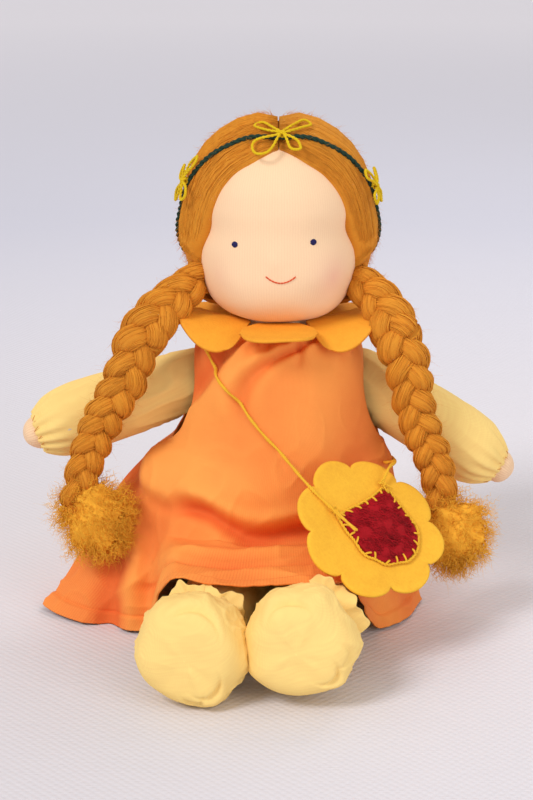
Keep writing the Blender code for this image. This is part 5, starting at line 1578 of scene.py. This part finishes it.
class DOLL_OT_limbs(Step):
    """Make the torso, arms, hands, legs and booties"""

    bl_idname = "doll.limbs"
    bl_label = "Body and limbs"

    def build(self, sizes, colours):
        torso = piece("torso_cotton", [part(torso_form())], "cotton", "torso", "torso_cover")
        for k, name in enumerate(SIDES):
            self.arm(name, 5 + 9 * k)
            self.leg(name, 51 + 9 * k)

    def arm(self, name, seed):
        """Cotton arm, jersey hand and the ragged stitches that close the wrist."""
        at, turn, body = SHOULDERS[name], arm_turn(name), f"{name}_arm"
        form = part(moved(sleeve_form(seed), at, turn))
        sleeve = piece(f"{name}_arm_cotton", [form], "cotton", body, f"{name}_sleeve")
        a = np.linspace(0, PI, 40)[9:]
        line = np.stack([HAND_RADIUS * np.sin(a), HAND_CENTRE + HAND_RADIUS * np.cos(a)], -1)
        hand, _ = round_form(np.vstack([HAND_ROOT, line]), *GRIDS["hand"])
        form = part(moved(roughened(hand, "hand", seed), at, turn))
        palm = piece(f"{name}_hand_jersey", [form], "hand_jersey", body, f"{name}_hand")
        rng = np.random.default_rng(seed)
        b = np.linspace(0, 2 * PI, 17)[:-1] + rng.normal(0, 0.05, 16)
        (r0, z0, rag0), (r1, z1, rag1) = WRIST_ENDS
        first = around(r0, b, z0 + rng.normal(0, rag0, 16))
        then = around(r1, b + WRIST_SLANT, z1 + rng.normal(0, rag1, 16))
        pairs = np.stack([moved(first, at, turn), moved(then, at, turn)], 1)
        sewn = stitches(pairs, unit(around(1.0, b, -0.4)) @ turn.T, WRIST_THREAD)
        piece(f"{name}_wrist_stitches", [sewn], "wrist_thread", body, f"{name}_cuff_thread")

    def leg(self, name, seed):
        """The leg, the bootie with its drawn ruffle, and the thread that draws it."""
        at, turn, body = HIPS[name], leg_turn(name), f"{name}_leg"
        grid, _ = round_form(LEG_LINE, *GRIDS["leg"])
        form = part(moved(roughened(grid, "leg", seed), at, turn))
        limb = piece(f"{name}_leg_cotton", [form], "cotton", body, f"{name}_leg")
        form = part(moved(boot_form(seed + 3, LUMPS[name], TUCKS[name]), at, turn))
        boot = piece(f"{name}_bootie_cotton", [form], "cotton", body, f"{name}_bootie")
        form = part(moved(frill_form(seed, RUFFLES[name]), at, turn), wrap=False)
        frill = piece(f"{name}_bootie_ruffle", [form], "cotton", body, wall=FRILL_WALL, offset=0.0)
        b = np.linspace(0, 2 * PI, 160, endpoint=False)
        ring = moved(around(DRAW_RADIUS, b, DRAW_AT), at, turn)
        out = around(DRAW_RADIUS, b, 0.0) @ turn.T
        form = part(yarn("drawstring", ring, loop=True, up=out[None]), loop=True)
        piece(f"{name}_bootie_drawstring", [form], "cotton", body, f"{name}_bootie_thread")


class DOLL_OT_dress(Step):
    """Make the dress and its felt collar"""

    bl_idname = "doll.dress"
    bl_label = "Dress and collar"

    def build(self, sizes, colours):
        form, tone = dress_front_form()
        # The front's tone is painted shade of its folds
        form = part(form, wrap=False, flip=True, tone=tone[None])
        name = "dress_front"
        front = piece(f"{name}_velour", [form], "velour", "torso", name, wall=DRESS_WALL)
        form = part(dress_back_form(), wrap=False)
        name = "dress_back"
        back = piece(f"{name}_velour", [form], "velour", "torso", name, wall=DRESS_WALL)
        for k in range(PETALS):
            form = part(petal_form(k), wrap=False)
            node, name = f"collar_petal_{k + 1}", f"collar_felt_{k + 1}"
            petal = piece(name, [form], "collar_felt", "torso", node, wall=COLLAR_WALL)


class DOLL_OT_bag(Step):
    """Make the flower bag, its pocket, stitching, knots and strap"""

    bl_idname = "doll.bag"
    bl_label = "Bag"

    def build(self, sizes, colours):
        a = np.linspace(0, 2 * PI, 193)[:-1]
        r = np.linspace(0.02, 1, 40)[:, None]
        edge = flower_outline(a)
        x, y = r * edge * np.cos(a), r * edge * np.sin(a)
        half = BAG_THICKNESS / 2 - BAG_EDGE_THINS * step(0.95, 1, r)
        face, rear = (on_bag(x, y, side * half + bag_sag(x, y)) for side in (1, -1))
        worn = 0.4 + 0.4 * step(0.93, 1.0, np.r_[r, r[::-1]])
        worn = np.broadcast_to(worn, (1, 2 * len(r), len(a)))
        form = part(np.concatenate([face, rear[::-1]]), tone=worn)
        felt = piece("bag_flower_felt", [form], "bag_felt", "bag", "bag_flower")
        self.pocket()
        self.blanket_stitch()
        self.strap(sizes)

    def pocket(self):
        """The red pocket: a puffed patch of felt, matted over with loose fibres."""
        edge = pocket_edge(140)[:-1]
        middle = edge.mean(0)
        r = np.linspace(0.03, 1, 30)[:, None, None]
        flat = middle + (edge - middle) * r
        r = r[..., 0]
        puff = POCKET_PUFF * (1 - r**2) ** 0.8 + POCKET_FELT
        lumps = ripple(np.pad(flat, ((0, 0), (0, 0), (0, 1))), 0.007, 91)
        puff = puff + POCKET_LUMPS * lumps * (1 - r**4)
        grid = np.concatenate([on_felt(flat, GAP + puff), on_felt(flat, GAP)[::-1]])
        rng = np.random.default_rng(23)
        count, t = POCKET_FIBRES, np.linspace(0, 1, 10)
        foot = flat[:26].reshape(-1, 2)[rng.integers(0, 26 * len(edge), count)]
        lean = rng.normal(-0.9, 0.35, count)
        long = rng.uniform(0.004, 0.010, count)[:, None]
        way = np.stack([np.cos(lean), np.sin(lean)], -1) * long
        flow = foot[:, None] + (t[None, :, None] - 0.5) * way[:, None]
        sway = POCKET_SWAY * np.sin(2 * PI * (1.3 * t + rng.uniform(0, 1, (count, 1))))
        flow = flow + sway[..., None] * np.stack([-way[:, 1], way[:, 0]], -1)[:, None]
        far = np.maximum(share_of(flow, middle, edge), TINY)
        flow = middle + (flow - middle) * np.minimum(1.0, 0.93 / far)[..., None]
        over = POCKET_PUFF * np.maximum(1 - share_of(flow, middle, edge) ** 2, 0) ** 0.8
        over = over + GAP + POCKET_FELT + 0.0003 * rng.uniform(0, 1, (count, 1))
        radius = rng.uniform(0.00012, 0.00030, (count, 1)) + 0 * t
        wool = part(tubes(on_felt(flow, over), radius, 3), tone=rng.uniform(0, 1, count))
        patch = piece("bag_pocket_felt", [part(grid)], "pocket_felt", "bag", "bag_pocket")
        piece("bag_pocket_wool", [wool], "pocket_felt", "bag")

    def blanket_stitch(self):
        """Yarn laid round the pocket's edge, with short stitches that run inwards from it."""
        middle = pocket_edge(140)[:-1].mean(0)
        rng = np.random.default_rng(17)
        line = pocket_edge(240, 0.0011)[:-1]
        place = np.pad(line, ((0, 0), (0, 1)))
        line = line + 0.0005 * np.stack([ripple(place, 0.012, k) for k in (3, 4)], -1)
        out = bag_axes()[2]
        ring = yarn("blanket", on_felt(line, 0.0013), loop=True, up=out)
        feet = line[4:236:11]
        turn = rng.normal(0, 0.35, len(feet))
        cos, sin = np.cos(turn), np.sin(turn)
        x, y = unit(middle - feet).T
        inward = np.stack([x * cos - y * sin, x * sin + y * cos], -1)
        tips = feet + inward * rng.uniform(0.0026, 0.0046, len(feet))[:, None]
        pairs = np.stack([on_felt(feet, 0.0017), on_felt(tips, 0.0026)], 1)
        parts = [part(ring, loop=True), stitches(pairs, out, BLANKET_THREAD)]
        piece("bag_blanket_stitch", parts, "strap_yarn", "bag", "bag_stitching")

    def strap(self, sizes):
        """The yarn strap laid on the dress, and the knot at each of its ends."""
        rise, lift = POCKET_TOP + KNOT_RISE, BAG_THICKNESS / 2 + GAP + KNOT_RADIUS
        ends = [on_bag(POCKET_SHIFT + s * POCKET_HALF, rise, lift) for s in SIDES.values()]
        across, up, out = bag_axes()
        for name, at in zip(SIDES, ends):
            a = np.linspace(0, 2 * PI, 90)[:-1]
            x, y = np.sin(a) + 2 * np.sin(2 * a), np.cos(a) - 2 * np.cos(2 * a)
            loop = at + KNOT_SCALE * np.stack([x, y, -np.sin(3 * a)], -1) @ bag_axes()
            tails = [at + across * k * 0.004 - up * 0.006 + out * 0.001 for k in (-0.5, 0.7)]
            parts = [part(yarn("knot", loop, loop=True), loop=True)]
            parts += [part(yarn("tail", flowing([at, tail], 16))) for tail in tails]
            piece(f"{name}_knot_yarn", parts, "strap_yarn", "bag", f"{name}_strap_knot")
        graph = bpy.context.evaluated_depsgraph_get()
        panels = [bpy.data.objects[n] for n in ("dress_front_velour", "dress_back_velour")]
        trees = [BVHTree.FromObject(panel, graph) for panel in panels]
        gap = sizes.strap_yarn + STRAP_SLACK
        laid = [self.lay(Vector(p), trees, gap) for p in STRAP_LAID]
        path = flowing([ends[0], *STRAP_FRONT, *laid, *STRAP_BACK, ends[1]], 240)
        path = np.array([self.clear(Vector(p), trees, gap) for p in path])
        path[1:-1] = (path[:-2] + 2 * path[1:-1] + path[2:]) / 4
        strap = part(plied(path, sizes.strap_yarn, STRAP_PITCH))
        piece("bag_strap_yarn", [strap], "strap_yarn", "torso", "bag_strap")

    @staticmethod
    def heart(p):
        """The torso's middle line beside or below a point."""
        low = min(p.z, SHOULDERS["left"][2])
        return Vector((0.0, 0.0, low - (p.z - low) * 0.5))

    def lay(self, p, trees, gap):
        """A point put just outside the dress, on a ray from the torso's middle line."""
        way = (p - self.heart(p)).normalized()
        hits = [tree.ray_cast(p + way * RAY_START, -way) for tree in trees]
        hits = [hit for hit in hits if hit[0]]
        return self.clear(min(hits, key=lambda hit: hit[3])[0] if hits else p, trees, gap)

    def clear(self, p, trees, gap):
        """A point moved outwards until it is clear of the dress."""
        way = (p - self.heart(p)).normalized()
        for _ in range(CLEAR_ROUNDS):
            hits = (tree.find_nearest(p) for tree in trees)
            near, _, _, apart = min(hits, key=lambda hit: hit[3])
            if (p - near).dot(way) < 0:
                p = p + way * (apart + gap)
            elif apart < gap:
                p = p + way * (gap - apart)
        return p


class DOLL_OT_stage(Step):
    """Make the floor, the lights and the camera"""

    bl_idname = "doll.stage"
    bl_label = "Stage"

    def build(self, sizes, colours):
        self.floor()
        self.backdrop()
        for name, kind, power, size, at in LAMPS:
            lamp = bpy.data.lights.new(name, kind)
            lamp.energy = power
            setattr(lamp, "angle" if kind == "SUN" else "size", size)
            self.aimed(name, lamp, at)
        camera = bpy.data.cameras.new("camera")
        camera.lens = LENS
        bpy.context.scene.camera = self.aimed("camera", camera, CAMERA_AT)
        bpy.context.scene.view_settings.view_transform = "Standard"

    def floor(self):
        """A flat disc of pale woven cloth, with painted shade that changes with the distance."""
        turn = np.linspace(0, 2 * PI, 49)
        reach, turn = np.meshgrid(FLOOR_RINGS, turn, indexing="ij")
        grid = np.stack([reach * np.cos(turn), reach * np.sin(turn), 0 * turn], -1)
        floor = make("floor", [part(grid, wrap=False)])
        made = bpy.data.materials.new("floor")
        made.use_nodes = True
        shader = made.node_tree.nodes["Principled BSDF"]
        shader.inputs["Roughness"].default_value = 0.9
        shader.inputs["Specular IOR Level"].default_value = 0.1
        g = Graph(made.node_tree)
        place = g.put("TexCoord").outputs["Object"]
        cloth = g.pattern("weave", place, Size=FLOOR_WEAVE)
        slow = g.sum("MULTIPLY", g.noise(place, 14.0, 2.0), 1.6)
        high = g.sum("ADD", cloth["Height"], slow)
        lift = g.put("Bump", {"Strength": 0.35, "Distance": 0.0012, "Height": high})
        g.tree.links.new(lift.outputs[0], shader.inputs["Normal"])
        away = g.put("VectorMath", {0: place}, operation="LENGTH").outputs["Value"]
        # Painted shade: the floor's colour changes with the distance from the middle
        shade = (*lin(FLOOR_NEAR), 1.0)
        for code, start, run in FLOOR_PAINTED_SHADING:
            share = g.sum("DIVIDE", g.sum("SUBTRACT", away, start), run)
            share = g.sum("MINIMUM", g.sum("MAXIMUM", share, 0.0), 1.0)
            shade = g.mix(share, shade, (*lin(code), 1.0))
        g.tree.links.new(shade, shader.inputs["Base Color"])
        floor.data.materials.append(made)

    def backdrop(self):
        """A warm light all round, which the camera sees as the pale backdrop."""
        world = bpy.data.worlds.new("studio")
        bpy.context.scene.world = world
        world.use_nodes = True
        g = Graph(world.node_tree)
        seen = g.put("LightPath").outputs["Is Camera Ray"]
        shade = g.mix(seen, (*WORLD_LIGHT, 1.0), (*lin(BACKDROP), 1.0))
        g.tree.links.new(shade, world.node_tree.nodes["Background"].inputs[0])

    @staticmethod
    def aimed(name, data, at):
        """A lamp or camera put in its place and turned to the middle of the view."""
        item = bpy.data.objects.new(name, data)
        item.location = at
        way = Vector(CAMERA_TO) - Vector(at)
        item.rotation_euler = way.to_track_quat("-Z", "Y").to_euler()
        bpy.context.scene.collection.objects.link(item)
        return item


STEPS = (
    DOLL_OT_materials,
    DOLL_OT_head,
    DOLL_OT_hair,
    DOLL_OT_plaits,
    DOLL_OT_limbs,
    DOLL_OT_dress,
    DOLL_OT_bag,
    DOLL_OT_stage,
)


class DOLL_PT_panel(bpy.types.Panel):
    """The doll's settings and steps"""

    bl_label = "Cloth doll"
    bl_space_type = "VIEW_3D"
    bl_region_type = "UI"
    bl_category = "Doll"

    def draw(self, context):
        for settings in (context.scene.doll_sizes, context.scene.doll_colours):
            for name in settings.__annotations__:
                self.layout.prop(settings, name)
        for made in STEPS:
            self.layout.operator(made.bl_idname)


CLASSES = (DollColours, DollSizes, *STEPS, DOLL_PT_panel)


def register():
    """Register the classes and put the settings on the scene."""
    for made in CLASSES:
        bpy.utils.register_class(made)
    bpy.types.Scene.doll_colours = bpy.props.PointerProperty(type=DollColours)
    bpy.types.Scene.doll_sizes = bpy.props.PointerProperty(type=DollSizes)


def unregister():
    """Take the settings and classes away again."""
    del bpy.types.Scene.doll_sizes
    del bpy.types.Scene.doll_colours
    for made in reversed(CLASSES):
        bpy.utils.unregister_class(made)


def main():
    """Build the doll step by step."""
    register()
    bpy.ops.doll.materials()
    bpy.ops.doll.head()
    bpy.ops.doll.hair()
    bpy.ops.doll.plaits()
    bpy.ops.doll.limbs()
    bpy.ops.doll.dress()
    bpy.ops.doll.bag()
    bpy.ops.doll.stage()
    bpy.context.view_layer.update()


if __name__ == "__main__":
    main()
